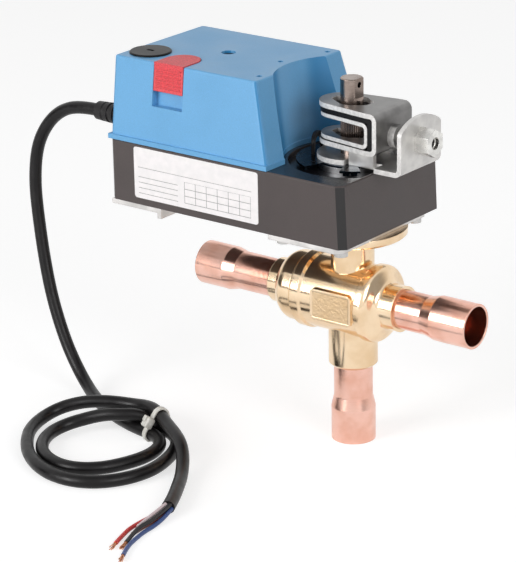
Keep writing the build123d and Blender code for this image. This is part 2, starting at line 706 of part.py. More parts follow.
def front_slab(depth, z_low, z_high, half_width):
    """Slab behind the drafted front face, as deep as given, between two heights."""
    run = (COVER_DRAFT - COVER_RIM_STEP) / (COVER_TOP_Z - DECK_Z)
    y_low = front_plane_y + run * (z_low - DECK_Z)
    y_high = front_plane_y + run * (z_high - DECK_Z)
    with BuildPart() as slab:
        with BuildSketch(Plane.YZ.offset(SLIDER_X - half_width)):
            with BuildLine():
                Polyline(
                    (y_low, z_low),
                    (y_low + depth, z_low),
                    (y_high + depth, z_high),
                    (y_high, z_high),
                    close=True,
                )
            make_face()
        extrude(amount=2 * half_width)
    return slab.part


with BuildPart() as top_cover:
    add(cover_block(0, DECK_Z, COVER_ROUND, COVER_CROWN))
    # Rim that sits flush with the housing, then the hollow
    with BuildSketch(Plane.XY.offset(DECK_Z)):
        with Locations(((HOUSING_LEFT_X + COVER_RIGHT_X) / 2, 0)):
            Rectangle(COVER_RIGHT_X - HOUSING_LEFT_X, 2 * HOUSING_HALF)
        Circle(SWEEP_R_LOW, mode=Mode.SUBTRACT)
    extrude(amount=COVER_RIM)
    add(cover_block(WALL, DECK_Z, 0, 0), mode=Mode.SUBTRACT)
    # Well for the release slider
    with BuildSketch(Plane.XY.offset(pocket_floor_z - SLIDER_WELL_WALL)):
        add(slider_outline(SLIDER_GAP + SLIDER_WELL_WALL))
        with Locations((SLIDER_X, -HOUSING_HALF - 5 - (COVER_DRAFT + 0.6) / 2 + 5)):
            Rectangle(40, COVER_DRAFT + 10.6, mode=Mode.SUBTRACT)
    extrude(amount=COVER_TOP_Z - 1 - pocket_floor_z + SLIDER_WELL_WALL)
    add(front_slab(channel_depth + SLIDER_WELL_WALL, channel_floor_z - SLIDER_WELL_WALL, COVER_TOP_Z - 1,
                   lobe_r + SLIDER_GAP + SLIDER_WELL_WALL))
    with BuildSketch(Plane.XY.offset(pocket_floor_z)):
        add(slider_outline(SLIDER_GAP))
    extrude(amount=20, mode=Mode.SUBTRACT)
    add(front_slab(channel_depth, channel_floor_z, COVER_TOP_Z + 1, lobe_r + SLIDER_GAP), mode=Mode.SUBTRACT)
    # Plug hole, adjuster recess and screw holes
    with BuildSketch(Plane.XY.offset(COVER_TOP_Z)):
        with Locations((PLUG_X, PLUG_Y)):
            Circle(PLUG_STEM_R + 0.1)
        with Locations((ADJUSTER_X, 0)):
            Circle(ADJUSTER_R)
        with Locations(*COVER_SCREW_SPOTS):
            Circle(COVER_SCREW_R)
    extrude(amount=-2 * WALL, mode=Mode.SUBTRACT)
    # Slot for the cable gland, open at the bottom edge
    with BuildSketch(Plane.YZ.offset(HOUSING_LEFT_X - 1)):
        with Locations((GLAND_Y, GLAND_Z)):
            Circle(GLAND_R + 0.05)
        with Locations((GLAND_Y, (DECK_Z + GLAND_Z) / 2)):
            Rectangle(2 * GLAND_R + 0.1, GLAND_Z - DECK_Z)
    extrude(amount=WALL + 3, mode=Mode.SUBTRACT)

slope_run = (COVER_DRAFT - COVER_RIM_STEP) / (COVER_TOP_Z - DECK_Z)
tab_low_z = COVER_TOP_Z - SLIDER_TAB_HEIGHT
rib_count = 6
rib_pitch = 1.5
with BuildPart() as release_slider:
    with BuildSketch(Plane.XY.offset(COVER_TOP_Z - SLIDER_THICK)):
        add(slider_outline(0))
        with Locations((SLIDER_X, -HOUSING_HALF - 5)):
            Rectangle(40, 2 * COVER_DRAFT + 10 - 2 * slope_run * SLIDER_THICK, mode=Mode.SUBTRACT)
    extrude(amount=SLIDER_THICK + 0.3)
    add(front_slab(SLIDER_THICK, tab_low_z, COVER_TOP_Z + 0.3, lobe_r))
    # Guide leg that runs down in the well
    with BuildSketch(Plane.XY.offset(COVER_TOP_Z - SLIDER_THICK)):
        with Locations((SLIDER_X, SLIDER_LOBE_Y - lobe_r)):
            Circle(2.4)
    extrude(amount=-(SLIDER_TRAVEL + 1.2 + 5.0))
    # Grip ribs
    for i in range(rib_count):
        rib_z = tab_low_z + 1.8 + i * rib_pitch
        rib_y = front_plane_y + slope_run * (rib_z - DECK_Z)
        with BuildSketch(Plane.YZ.offset(SLIDER_X - lobe_r + 1.2)):
            with Locations((rib_y, rib_z)):
                Circle(0.4)
        extrude(amount=2 * lobe_r - 2.4)

top_cover.part = top_cover.part - Location(
    (SLIDER_X, SLIDER_LOBE_Y - lobe_r, pocket_floor_z - 5)
) * Cylinder(3.6, 12)

with BuildPart() as disc_plug:
    with BuildSketch(Plane.XY.offset(COVER_TOP_Z)):
        with Locations((PLUG_X, PLUG_Y)):
            Circle(PLUG_R)
    extrude(amount=0.8)
    chamfer(disc_plug.edges().sort_by(Axis.Z)[-1], 0.4)
    with BuildSketch(Plane.XY.offset(COVER_TOP_Z)):
        with Locations((PLUG_X, PLUG_Y)):
            Circle(PLUG_STEM_R)
            Circle(PLUG_STEM_R - 1.4, mode=Mode.SUBTRACT)
    extrude(amount=-3.2)
    with BuildSketch(Plane.XY.offset(COVER_TOP_Z + 0.8)):
        with Locations((PLUG_X, PLUG_Y)):
            Rectangle(3.4, 1.6)
    extrude(amount=-0.5, mode=Mode.SUBTRACT)

board_top_z = board_z + BOARD_THICK
with BuildPart() as adjust_screw:
    with BuildSketch(Plane.XY.offset(board_top_z)):
        with Locations((ADJUSTER_X, 0)):
            Circle(1.6)
    extrude(amount=COVER_TOP_Z - 2.6 - board_top_z)
    with BuildSketch(Plane.XY.offset(COVER_TOP_Z - 2.6)):
        with Locations((ADJUSTER_X, 0)):
            Circle(ADJUSTER_R - 0.3)
    extrude(amount=1.6)
    with BuildSketch(Plane.XY.offset(COVER_TOP_Z - 1.0)):
        with Locations((ADJUSTER_X, 0)):
            Rectangle(4.2, 0.8)
            Rectangle(0.8, 4.2)
    extrude(amount=-0.8, mode=Mode.SUBTRACT)

with BuildPart() as cover_screws:
    for x, y in COVER_SCREW_SPOTS:
        with BuildSketch(Plane.XY.offset(COVER_TOP_Z - 1.2)):
            with Locations((x, y)):
                Circle(COVER_SCREW_R - 0.02)
        extrude(amount=-8.0)

with BuildPart() as cable_gland:
    with BuildSketch(Plane.XZ):
        with BuildLine():
            inner_x = HOUSING_LEFT_X + COVER_RIM_STEP + WALL
            tip_x = HOUSING_LEFT_X - GLAND_LENGTH
            Polyline(
                (inner_x + 2.0, GLAND_Z),
                (inner_x + 2.0, GLAND_Z + GLAND_R + 1.0),
                (inner_x + 0.1, GLAND_Z + GLAND_R + 1.0),
                (inner_x + 0.1, GLAND_Z + GLAND_R),
                (HOUSING_LEFT_X - 3.0, GLAND_Z + GLAND_R),
                (tip_x, GLAND_Z + CABLE_D / 2 + 1.2),
                (tip_x, GLAND_Z),
                close=True,
            )
        make_face()
    revolve(axis=Axis((0, 0, GLAND_Z), (1, 0, 0)))
    for i in range(4):
        ring_x = HOUSING_LEFT_X - 4.5 - i * 3.2
        with BuildSketch(Plane.XZ):
            with Locations((ring_x, GLAND_Z + GLAND_R + 1)):
                Rectangle(1.3, 3.6)
        revolve(axis=Axis((0, 0, GLAND_Z), (1, 0, 0)), mode=Mode.SUBTRACT)
cable_gland.part = Location((0, GLAND_Y, 0)) * cable_gland.part


def involute_angle(base_r, r):
    """Angle of the involute's point at radius r, from where it leaves the base circle."""
    if r <= base_r:
        return 0.0
    ratio = sqrt((r / base_r) ** 2 - 1)
    return ratio - atan2(ratio, 1)


def gear_sketch(module, teeth, first, count):
    """Toothed outline of a wheel or sector: the first tooth's azimuth, and how many teeth."""
    pitch_r = module * teeth / 2
    base_r = pitch_r * cos(radians(20))
    tip_r = pitch_r + ADDENDUM * module
    root_r = pitch_r - DEDENDUM * module
    half_pitch = pi / 2 / teeth * TOOTH_SHARE
    flank_rs = (max(root_r, base_r * 0.999), pitch_r, tip_r)
    step = 360 / teeth
    whole = count == teeth
    points = []
    for i in range(count):
        centre = radians(first + i * step)
        flank = []
        for r in flank_rs:
            half = half_pitch + involute_angle(base_r, pitch_r) - involute_angle(base_r, r)
            flank.append((r, half))
        root_half = flank[0][1]
        if root_r < base_r:
            flank.insert(0, (root_r, root_half))
        for r, half in flank:
            points.append((r * cos(centre - half), r * sin(centre - half)))
        for r, half in reversed(flank):
            points.append((r * cos(centre + half), r * sin(centre + half)))
    if not whole:
        points.append((0.0, 0.0))
    with BuildSketch() as outline:
        with BuildLine():
            Polyline(*points, close=True)
        make_face()
    return outline.sketch


sector_step = 360 / SECTOR_TEETH
with BuildPart() as output_gear:
    with BuildSketch(Plane.XY.offset(sector_z)):
        add(gear_sketch(GEAR_MODULE, SECTOR_TEETH, 180 - 1.5 * sector_step, SECTOR_COUNT))
        Circle(HUB_SEAT_R + 3.0)
        Circle(HUB_SEAT_R, mode=Mode.SUBTRACT)
    extrude(amount=GEAR_THICK)

hub_r_low = SPIGOT_R - 0.08
with BuildPart() as drive_hub:
    with BuildSketch(Plane.XZ):
        with BuildLine():
            bore = SHAFT_R + HUB_BORE_CLEARANCE
            shoulder_z = sector_z + GEAR_THICK
            Polyline(
                (bore, HOUSING_BOTTOM_Z + 0.2),
                (hub_r_low, HOUSING_BOTTOM_Z + 0.2),
                (hub_r_low, floor_z + 0.1),
                (HUB_SEAT_R, floor_z + 0.1),
                (HUB_SEAT_R, shoulder_z),
                (HUB_R, shoulder_z),
                (HUB_R, hub_top_z),
                (bore, hub_top_z),
                close=True,
            )
        make_face()
    revolve(axis=Axis.Z)

with BuildPart() as idler_axle:
    with BuildSketch(Plane.XY.offset(floor_z)):
        with Locations((idler_x, 0)):
            Circle(AXLE_R)
    extrude(amount=gear_plate_z + gear_plate_thick - floor_z)

with BuildPart() as idler_gear:
    with BuildSketch(Plane.XY.offset(wheel_z)):
        add(gear_sketch(WHEEL_MODULE, WHEEL_TEETH, 0, WHEEL_TEETH))
    extrude(amount=GEAR_THICK)
    with BuildSketch(Plane.XY.offset(wheel_z + GEAR_THICK)):
        Circle(pinion_r - DEDENDUM * GEAR_MODULE)
    extrude(amount=sector_z - wheel_z - GEAR_THICK)
    with BuildSketch(Plane.XY.offset(sector_z)):
        add(gear_sketch(GEAR_MODULE, IDLER_PINION_TEETH, 0, IDLER_PINION_TEETH))
    extrude(amount=GEAR_THICK + 0.6)
    with BuildSketch(Plane.XY.offset(wheel_z)):
        Circle(AXLE_R + AXLE_CLEARANCE)
    extrude(amount=20, mode=Mode.SUBTRACT)
idler_gear.part = Location((idler_x, 0, 0)) * idler_gear.part

motor_z = gear_plate_z + gear_plate_thick
with BuildPart() as motor_pinion:
    with BuildSketch(Plane.XY.offset(wheel_z)):
        add(gear_sketch(WHEEL_MODULE, MOTOR_TEETH, 180 / MOTOR_TEETH, MOTOR_TEETH))
    extrude(amount=GEAR_THICK)
    with BuildSketch(Plane.XY.offset(wheel_z + GEAR_THICK)):
        Circle(MOTOR_SHAFT_R)
    extrude(amount=motor_z + 6 - wheel_z - GEAR_THICK)
motor_pinion.part = Location((motor_x, 0, 0)) * motor_pinion.part

with BuildPart() as motor:
    with BuildSketch(Plane.XY.offset(motor_z)):
        with Locations((motor_x, 0)):
            Circle(MOTOR_R)
    extrude(amount=MOTOR_HEIGHT)
    fillet(motor.edges().sort_by(Axis.Z)[-1], 1.5)
    with BuildSketch(Plane.XY.offset(motor_z)):
        with Locations((motor_x, 0)):
            Circle(MOTOR_SHAFT_R + 0.05)
    extrude(amount=8, mode=Mode.SUBTRACT)

plate_left_x = pillar_left_x - 3
plate_right_x = pillar_right_x + 4.5
with BuildPart() as gear_plate:
    with BuildSketch(Plane.XY.offset(gear_plate_z)):
        with Locations(((plate_left_x + plate_right_x) / 2, 0)):
            RectangleRounded(plate_right_x - plate_left_x, 2 * pillar_right_y + 7, 3.0)
        with Locations((motor_x, 0)):
            Circle(MOTOR_SHAFT_R + 1.0, mode=Mode.SUBTRACT)
        with Locations((idler_x, 0)):
            Circle(AXLE_R, mode=Mode.SUBTRACT)
    extrude(amount=gear_plate_thick)

with BuildPart() as circuit_board:
    with BuildSketch(Plane.XY.offset(board_z)):
        with Locations((board_x, board_y)):
            RectangleRounded(40.0, 2 * HOUSING_HALF - 15, 2.0)
        with Locations((SLIDER_X, SLIDER_LOBE_Y - lobe_r)):
            Circle(3.6, mode=Mode.SUBTRACT)
    extrude(amount=BOARD_THICK)
    # Terminal block, relay and two capacitors, hanging under the board
    with BuildSketch(Plane.XY.offset(board_z)):
        with Locations((board_x - 10, board_y - 13)):
            Rectangle(8.0, 14.0)
        with Locations((board_x - 9, board_y + 11)):
            Rectangle(12.0, 15.0)
    extrude(amount=-10.0)
    with BuildSketch(Plane.XY.offset(board_z)):
        with Locations((board_x + 10, board_y + 17), (board_x + 10, board_y + 7)):
            Circle(4.0)
    extrude(amount=-3.0)

# Shaft clamp


def strap_plan(centre_x, end_r, half, straight_x, reach):
    """Plan of a strap: round behind the shaft, widening by straight sides to its front."""
    dx = straight_x - centre_x
    span = sqrt(dx * dx + half * half)
    touch = atan2(half, dx) + asin(0) + (pi / 2 - asin(end_r / span))
    touch_point = (centre_x + end_r * cos(touch), end_r * sin(touch))
    with BuildSketch() as plan:
        with BuildLine():
            Polyline(
                touch_point,
                (straight_x, half),
                (reach, half),
                (reach, -half),
                (straight_x, -half),
                (touch_point[0], -touch_point[1]),
            )
            ThreePointArc(
                (touch_point[0], -touch_point[1]),
                (centre_x - end_r, 0),
                touch_point,
            )
        make_face()
    return plan.sketch


def u_strap(low_z, high_z, reach, sheet, plan, bend_r):
    """Strap bent to a U that opens towards -X, cut to its plan."""
    back_x = -20.0
    with BuildPart() as strap:
        with BuildSketch(Plane.XZ):
            with BuildLine():
                Polyline(
                    (back_x, low_z),
                    (reach, low_z),
                    (reach, high_z),
                    (back_x, high_z),
                    (back_x, high_z - sheet),
                    (reach - sheet, high_z - sheet),
                    (reach - sheet, low_z + sheet),
                    (back_x, low_z + sheet),
                    close=True,
                )
            make_face()
        extrude(amount=20, both=True)
        bends = strap.edges().filter_by(Axis.Y)
        outer = [e for e in bends if abs(e.center().X - reach) < 0.01]
        inner = [e for e in bends if abs(e.center().X - reach + sheet) < 0.01]
        fillet(outer, bend_r + sheet)
        fillet([e for e in strap.edges().filter_by(Axis.Y)
                if abs(e.center().X - reach + sheet) < 0.01 and low_z + 0.1 < e.center().Z < high_z - 0.1
                and min(abs(e.center().Z - low_z - sheet), abs(e.center().Z - high_z + sheet)) < 0.01], bend_r)
        with BuildSketch(Plane.XY.offset(low_z - 1)):
            add(plan)
        extrude(amount=high_z - low_z + 2, mode=Mode.INTERSECT)
    return strap.part


def strap_window():
    """Plan of the window that the shaft stands in."""
    with BuildSketch() as window:
        with BuildLine():
            Polyline(
                (-8.6, -2.0),
                (-1.0, -6.5),
                (3.0, -6.5),
                (8.8, -2.5),
                (8.8, 2.5),
                (3.0, 6.5),
                (-1.0, 6.5),
                (-8.6, 2.0),
                close=True,
            )
        make_face()
    return window.sketch


yoke_low_z = YOKE_TOP_Z - YOKE_HEIGHT
yoke_plan = strap_plan(YOKE_LOBE_X, YOKE_LOBE_R, STRAP_HALF, STRAP_FRONT_X, YOKE_REACH)
with BuildPart() as clamp_yoke:
    add(u_strap(yoke_low_z, YOKE_TOP_Z, YOKE_REACH, SHEET, yoke_plan, BEND_R))
    with BuildSketch(Plane.XY.offset(yoke_low_z - 1)):
        Circle(SHAFT_R + 0.25)
    extrude(amount=SHEET + 2, mode=Mode.SUBTRACT)
    # Window in the upper leg, clear of the shaft
    with BuildSketch(Plane.XY.offset(YOKE_TOP_Z + 1)):
        add(strap_window())
    extrude(amount=-(SHEET + 2), mode=Mode.SUBTRACT)
    # Screwed collar on the web
    with BuildSketch(Plane.YZ.offset(YOKE_REACH)):
        with Locations((0, BOLT_Z)):
            Circle(COLLAR_ROUND_R)
    extrude(amount=COLLAR_REACH)
    with BuildSketch(Plane.YZ.offset(YOKE_REACH - SHEET - 1)):
        with Locations((0, BOLT_Z)):
            Circle(BOLT_R + 0.02)
    extrude(amount=SHEET + 6, mode=Mode.SUBTRACT)

insert_low_z = yoke_low_z + INSERT_LIFT
insert_high_z = insert_low_z + INSERT_HEIGHT
insert_plan = strap_plan(YOKE_LOBE_X, YOKE_LOBE_R - 0.6, STRAP_HALF - 0.4, STRAP_FRONT_X - 1.0, INSERT_REACH)
with BuildPart() as clamp_insert:
    add(u_strap(insert_low_z, insert_high_z, INSERT_REACH, INSERT_SHEET, insert_plan, BEND_R))
    with BuildSketch(Plane.XY.offset(insert_low_z - 1)):
        Circle(SHAFT_R + 0.05)
    extrude(amount=INSERT_HEIGHT + 2, mode=Mode.SUBTRACT)
    # The lower leg has the yoke's window, so the upper one alone holds the shaft
    with BuildSketch(Plane.XY.offset(insert_low_z - 1)):
        add(strap_window())
    extrude(amount=INSERT_SHEET + 1.5, mode=Mode.SUBTRACT)

# Plastic liner that fills the space between the two straps
liner_low_z = yoke_low_z + SHEET + 0.05
liner_high_z = YOKE_TOP_Z - SHEET - 0.05
liner_reach = YOKE_REACH - SHEET - 0.05
with BuildPart() as clamp_liner:
    with BuildSketch(Plane.XY.offset(liner_low_z)):
        add(strap_plan(YOKE_LOBE_X, YOKE_LOBE_R - 0.3, STRAP_HALF - 0.2, STRAP_FRONT_X, liner_reach))
    extrude(amount=liner_high_z - liner_low_z)
    front_edges = clamp_liner.edges().filter_by(Axis.Y).sort_by(Axis.X)[-2:]
    fillet(front_edges, BEND_R + 0.2)
    with BuildSketch(Plane.XZ):
        with Locations(((INSERT_REACH - 20) / 2 - 5, (insert_low_z + insert_high_z) / 2)):
            Rectangle(INSERT_REACH + 30, INSERT_HEIGHT + 0.1)
    extrude(amount=20, both=True, mode=Mode.SUBTRACT)
    with BuildSketch(Plane.XY.offset(liner_low_z - 1)):
        Circle(SHAFT_R + 0.3)
    extrude(amount=YOKE_HEIGHT, mode=Mode.SUBTRACT)
    with BuildSketch(Plane.YZ.offset(INSERT_REACH - 1)):
        with Locations((0, BOLT_Z)):
            Circle(BOLT_R + 0.3)
    extrude(amount=6, mode=Mode.SUBTRACT)

tab_edge_z = TAB_TOP_Z - 4.6
cheek_top_z = yoke_low_z - 0.1
with BuildPart() as clamp_base:
    with BuildSketch(Plane.XZ):
        with BuildLine():
            Polyline(
                (-20, CLAMP_BASE_Z),
                (TAB_X, CLAMP_BASE_Z),
                (TAB_X, TAB_TOP_Z + 1),
                (TAB_X - SHEET, TAB_TOP_Z + 1),
                (TAB_X - SHEET, CLAMP_BASE_Z + SHEET),
                (-20, CLAMP_BASE_Z + SHEET),
                close=True,
            )
        make_face()
    extrude(amount=20, both=True)
    fillet([e for e in clamp_base.edges().filter_by(Axis.Y)
            if abs(e.center().X - TAB_X) < 0.01 and e.center().Z < CLAMP_BASE_Z + 1], BASE_BEND_R + SHEET)
    fillet([e for e in clamp_base.edges().filter_by(Axis.Y)
            if abs(e.center().X - TAB_X + SHEET) < 0.01 and e.center().Z < TAB_TOP_Z], BASE_BEND_R)
    # Plan: a round lobe, the narrow part between the cheeks, and the tab's full width
    with BuildSketch(Plane.XY.offset(CLAMP_BASE_Z - 1)):
        with Locations((BASE_LOBE_X, 0)):
            Circle(BASE_LOBE_R)
        with Locations((NOTCH_X + BASE_LOBE_R, 0)):
            Rectangle(2 * BASE_LOBE_R, 2 * BASE_LOBE_R, mode=Mode.SUBTRACT)
        with Locations(((BASE_LOBE_X + SHOULDER_X) / 2, 0)):
            Rectangle(SHOULDER_X - BASE_LOBE_X, 2 * (CLAMP_FLANGE_Y - SHEET))
        with Locations(((SHOULDER_X + TAB_X + 2) / 2, 0)):
            Rectangle(TAB_X + 2 - SHOULDER_X, 2 * TAB_HALF + 2)
    extrude(amount=TAB_TOP_Z - CLAMP_BASE_Z + 3, mode=Mode.INTERSECT)
    # The tab's outline: rounded below, arched above
    with BuildSketch(Plane.YZ.offset(-30)):
        with BuildLine():
            Polyline(
                (-TAB_HALF, tab_edge_z),
                (-TAB_HALF, CLAMP_BASE_Z - 1),
                (TAB_HALF, CLAMP_BASE_Z - 1),
                (TAB_HALF, tab_edge_z),
            )
            ThreePointArc((TAB_HALF, tab_edge_z), (0, TAB_TOP_Z), (-TAB_HALF, tab_edge_z))
        make_face()
    extrude(amount=70, mode=Mode.INTERSECT)
    fillet([e for e in clamp_base.edges().filter_by(Axis.X) if abs(e.center().Z - tab_edge_z) < 0.05], 2.5)
    # Guide cheeks bent up from the plate's own edges
    with BuildSketch(Plane.YZ.offset(CHEEK_LEFT_X)):
        with BuildLine():
            Polyline(
                (-CLAMP_FLANGE_Y, cheek_top_z),
                (-CLAMP_FLANGE_Y, CLAMP_BASE_Z),
                (CLAMP_FLANGE_Y, CLAMP_BASE_Z),
                (CLAMP_FLANGE_Y, cheek_top_z),
                (CLAMP_FLANGE_Y - SHEET, cheek_top_z),
                (CLAMP_FLANGE_Y - SHEET, CLAMP_BASE_Z + SHEET),
                (SHEET - CLAMP_FLANGE_Y, CLAMP_BASE_Z + SHEET),
                (SHEET - CLAMP_FLANGE_Y, cheek_top_z),
                close=True,
            )
        cheek_face = make_face()
        fillet([v for v in cheek_face.vertices() if abs(v.Z - CLAMP_BASE_Z) < 0.01], CHEEK_BEND_R + SHEET)
    extrude(amount=CHEEK_RIGHT_X - CHEEK_LEFT_X)
    with BuildSketch(Plane.XY.offset(CLAMP_BASE_Z - 1)):
        Circle(SHAFT_R + 0.1)
    extrude(amount=SHEET + 2, mode=Mode.SUBTRACT)
    with BuildSketch(Plane.YZ.offset(TAB_X - SHEET - 1)):
        with Locations((0, BOLT_Z)):
            Circle(BOLT_R + 0.25)
    extrude(amount=SHEET + 2, mode=Mode.SUBTRACT)

bolt_tip_x = INSERT_REACH + 0.05
with BuildPart() as clamp_bolt:
    with BuildSketch(Plane.YZ.offset(TAB_X)):
        with Locations((0, BOLT_Z)):
            RegularPolygon(BOLT_HEAD_AF / 2, 6, major_radius=False, rotation=30)
    extrude(amount=BOLT_HEAD_HEIGHT)
    with BuildSketch(Plane.YZ.offset(TAB_X)):
        with Locations((0, BOLT_Z)):
            Circle(BOLT_R - 0.02)
    extrude(amount=-(TAB_X - bolt_tip_x))
    with BuildSketch(Plane.YZ.offset(TAB_X + BOLT_HEAD_HEIGHT)):
        with Locations((0, BOLT_Z)):
            Circle(2.5)
    extrude(amount=-1.8, mode=Mode.SUBTRACT)


def polar(r, azimuth):
    """Point at a radius and azimuth about the shaft."""
    return (r * cos(radians(azimuth)), r * sin(radians(azimuth)))


with BuildPart() as indicator_plate:
    with BuildSketch(Plane.XY.offset(hub_top_z)):
        Circle(HUB_R)
        with BuildLine():
            Line((0, 0), polar(INDICATOR_R, INDICATOR_LOBE[0]))
            ThreePointArc(
                polar(INDICATOR_R, INDICATOR_LOBE[0]),
                polar(INDICATOR_R, (INDICATOR_LOBE[0] + INDICATOR_LOBE[1]) / 2),
                polar(INDICATOR_R, INDICATOR_LOBE[1]),
            )
            Line(polar(INDICATOR_R, INDICATOR_LOBE[1]), (0, 0))
        make_face()
        with BuildLine():
            Line((0, 0), polar(TONGUE_R, TONGUE[0]))
            ThreePointArc(polar(TONGUE_R, TONGUE[0]), polar(TONGUE_R, sum(TONGUE) / 2), polar(TONGUE_R, TONGUE[1]))
            Line(polar(TONGUE_R, TONGUE[1]), (0, 0))
        make_face()
        Circle(SHAFT_R + 0.2, mode=Mode.SUBTRACT)
    extrude(amount=INDICATOR_THICK)
    for r, azimuth in FINGER_PLACES:
        with BuildSketch(Plane.XY.offset(hub_top_z)):
            with Locations(Location((*polar(r, azimuth), 0), (0, 0, azimuth))):
                Rectangle(INDICATOR_THICK, FINGER_WIDTH)
        extrude(amount=-FINGER_DROP)

# Pointer: a thin arch on the indicator plate, curved about the shaft
pointer_top_z = CLAMP_BASE_Z + POINTER_HEIGHT
with BuildPart() as clamp_pointer:
    with BuildSketch(Plane.XY.offset(CLAMP_BASE_Z)):
        with BuildLine():
            outer_r = POINTER_R + POINTER_THICK
            middle = (POINTER_SPAN[0] + POINTER_SPAN[1]) / 2
            ThreePointArc(polar(outer_r, POINTER_SPAN[0]), polar(outer_r, middle), polar(outer_r, POINTER_SPAN[1]))
            Line(polar(outer_r, POINTER_SPAN[1]), polar(POINTER_R, POINTER_SPAN[1]))
            ThreePointArc(polar(POINTER_R, POINTER_SPAN[1]), polar(POINTER_R, middle), polar(POINTER_R, POINTER_SPAN[0]))
            Line(polar(POINTER_R, POINTER_SPAN[0]), polar(outer_r, POINTER_SPAN[0]))
        make_face()
    extrude(amount=pointer_top_z - CLAMP_BASE_Z)
    arch_plane = Plane(origin=(0, 0, 0), x_dir=(-sin(radians(middle)), cos(radians(middle)), 0),
                       z_dir=(cos(radians(middle)), sin(radians(middle)), 0))
    arch_half = POINTER_R * sin(radians((POINTER_SPAN[1] - POINTER_SPAN[0]) / 2))
    with BuildSketch(arch_plane):
        with Locations((0, (CLAMP_BASE_Z + pointer_top_z) / 2)):
            Rectangle(40, pointer_top_z - CLAMP_BASE_Z + 2)
        with Locations((0, CLAMP_BASE_Z - 6 + (pointer_top_z - CLAMP_BASE_Z + 6) / 2)):
            RectangleRounded(2 * arch_half + 0.6, pointer_top_z - CLAMP_BASE_Z + 6, arch_half * 0.9,
                             mode=Mode.SUBTRACT)
    extrude(amount=30, mode=Mode.SUBTRACT)
    with BuildSketch(arch_plane):
        with Locations((0, CLAMP_BASE_Z - 8 + (pointer_top_z - 2.0 - CLAMP_BASE_Z + 8) / 2)):
            RectangleRounded(2 * arch_half - 3.4, pointer_top_z - 2.0 - CLAMP_BASE_Z + 8, arch_half * 0.6)
    extrude(amount=30, mode=Mode.SUBTRACT)

# Cable: one drop from the gland to the coil, the coil, and the tail to the bared wires
gland_tip = (HOUSING_LEFT_X - GLAND_LENGTH, GLAND_Y, GLAND_Z)
drop_route = [
    gland_tip,
    (-128.0, -17.3, 124.3),
    (-138.4, -17.6, 120.9),
    (-146.6, -18.1, 113.4),
    (-152.2, -18.8, 102.6),
    (-153.6, -19.7, 87.0),
    (-151.2, -20.8, 70.0),
    (-147.4, -22.2, 52.0),
    (-142.6, -23.6, 36.0),
    (-134.8, -25.4, 20.0),
    (-127.0, -27.0, 9.6),
    (-117.0, -31.0, 3.2),
    (-104.0, -39.4, 3.0),
]
tail_route = [
    (-47.2, -53.6, 3.0),
    (-37.4, -64.4, 3.0),
    (-28.9, -76.4, 3.0),
    (-22.0, -87.8, 3.0),
    (-17.2, -96.2, 3.0),
    (-13.7, -103.5, 3.0),
]


def corner_radii(points):
    """Largest smooth bend at each inner point of a route."""
    radii = []
    for before, here, after in zip(points, points[1:], points[2:]):
        run_in = Vector(*here) - Vector(*before)
        run_out = Vector(*after) - Vector(*here)
        half_turn = radians(run_in.get_angle(run_out) / 2)
        radii.append(0.45 * min(run_in.length, run_out.length) / tan(half_turn))
    return radii


def cord_tube(points, diameter):
    """Round cord along a route: straight runs joined by tangent arcs."""
    radii = corner_radii(points)
    with BuildPart() as cord:
        with BuildLine():
            path = FilletPolyline(*points, radius=radii)
        with BuildSketch(Plane(origin=path @ 0, z_dir=path % 0)):
            Circle(diameter / 2)
        sweep()
    return cord.part


cable_drop = cord_tube(drop_route, CABLE_D)
cable_tail = cord_tube(tail_route, CABLE_D)

with BuildPart() as cable_coil:
    with BuildSketch(Plane.XY):
        with Locations(Location((COIL_X, COIL_Y, 0), (0, 0, COIL_ANGLE))):
            Ellipse(COIL_LONG, COIL_SHORT)
            Ellipse(COIL_HOLE_LONG, COIL_HOLE_SHORT, mode=Mode.SUBTRACT)
    extrude(amount=COIL_HEIGHT)

# Cable tie: a flat band round the coil's strands, with its square head
tie_run = (cos(radians(TIE_ANGLE)), sin(radians(TIE_ANGLE)), 0)
tie_plane = Plane(origin=(TIE_X, TIE_Y, 0), x_dir=tie_run, z_dir=(tie_run[1], -tie_run[0], 0))
tie_top_z = COIL_HEIGHT + TIE_THICK + 0.1
with BuildPart() as cable_tie:
    with BuildSketch(tie_plane):
        with Locations((0, tie_top_z / 2)):
            RectangleRounded(TIE_SPAN + 2 * TIE_THICK, tie_top_z, 1.6)
        with Locations((0, tie_top_z / 2)):
            Rectangle(TIE_SPAN, tie_top_z - 2 * TIE_THICK, mode=Mode.SUBTRACT)
    extrude(amount=TIE_WIDTH / 2, both=True)
    with BuildSketch(tie_plane.offset(-TIE_WIDTH / 2 - 0.8)):
        with Locations((-TIE_SPAN / 2 + 3.0, tie_top_z + 1.2)):
            Rectangle(TIE_HEAD_LENGTH, TIE_HEAD_HEIGHT)
    extrude(amount=TIE_WIDTH + 1.6)

# The band passes under the strands, so they have room for it there
with BuildPart() as tie_room:
    with BuildSketch(tie_plane):
        with Locations((0, TIE_THICK / 2)):
            Rectangle(TIE_SPAN + 8.0, TIE_THICK + 0.1)
        with Locations((-TIE_SPAN / 2 + 3.0, COIL_HEIGHT)):
            Rectangle(6.0, 1.0)
    extrude(amount=TIE_WIDTH / 2 + 1.0, both=True)
cable_coil.part = cable_coil.part - tie_room.part

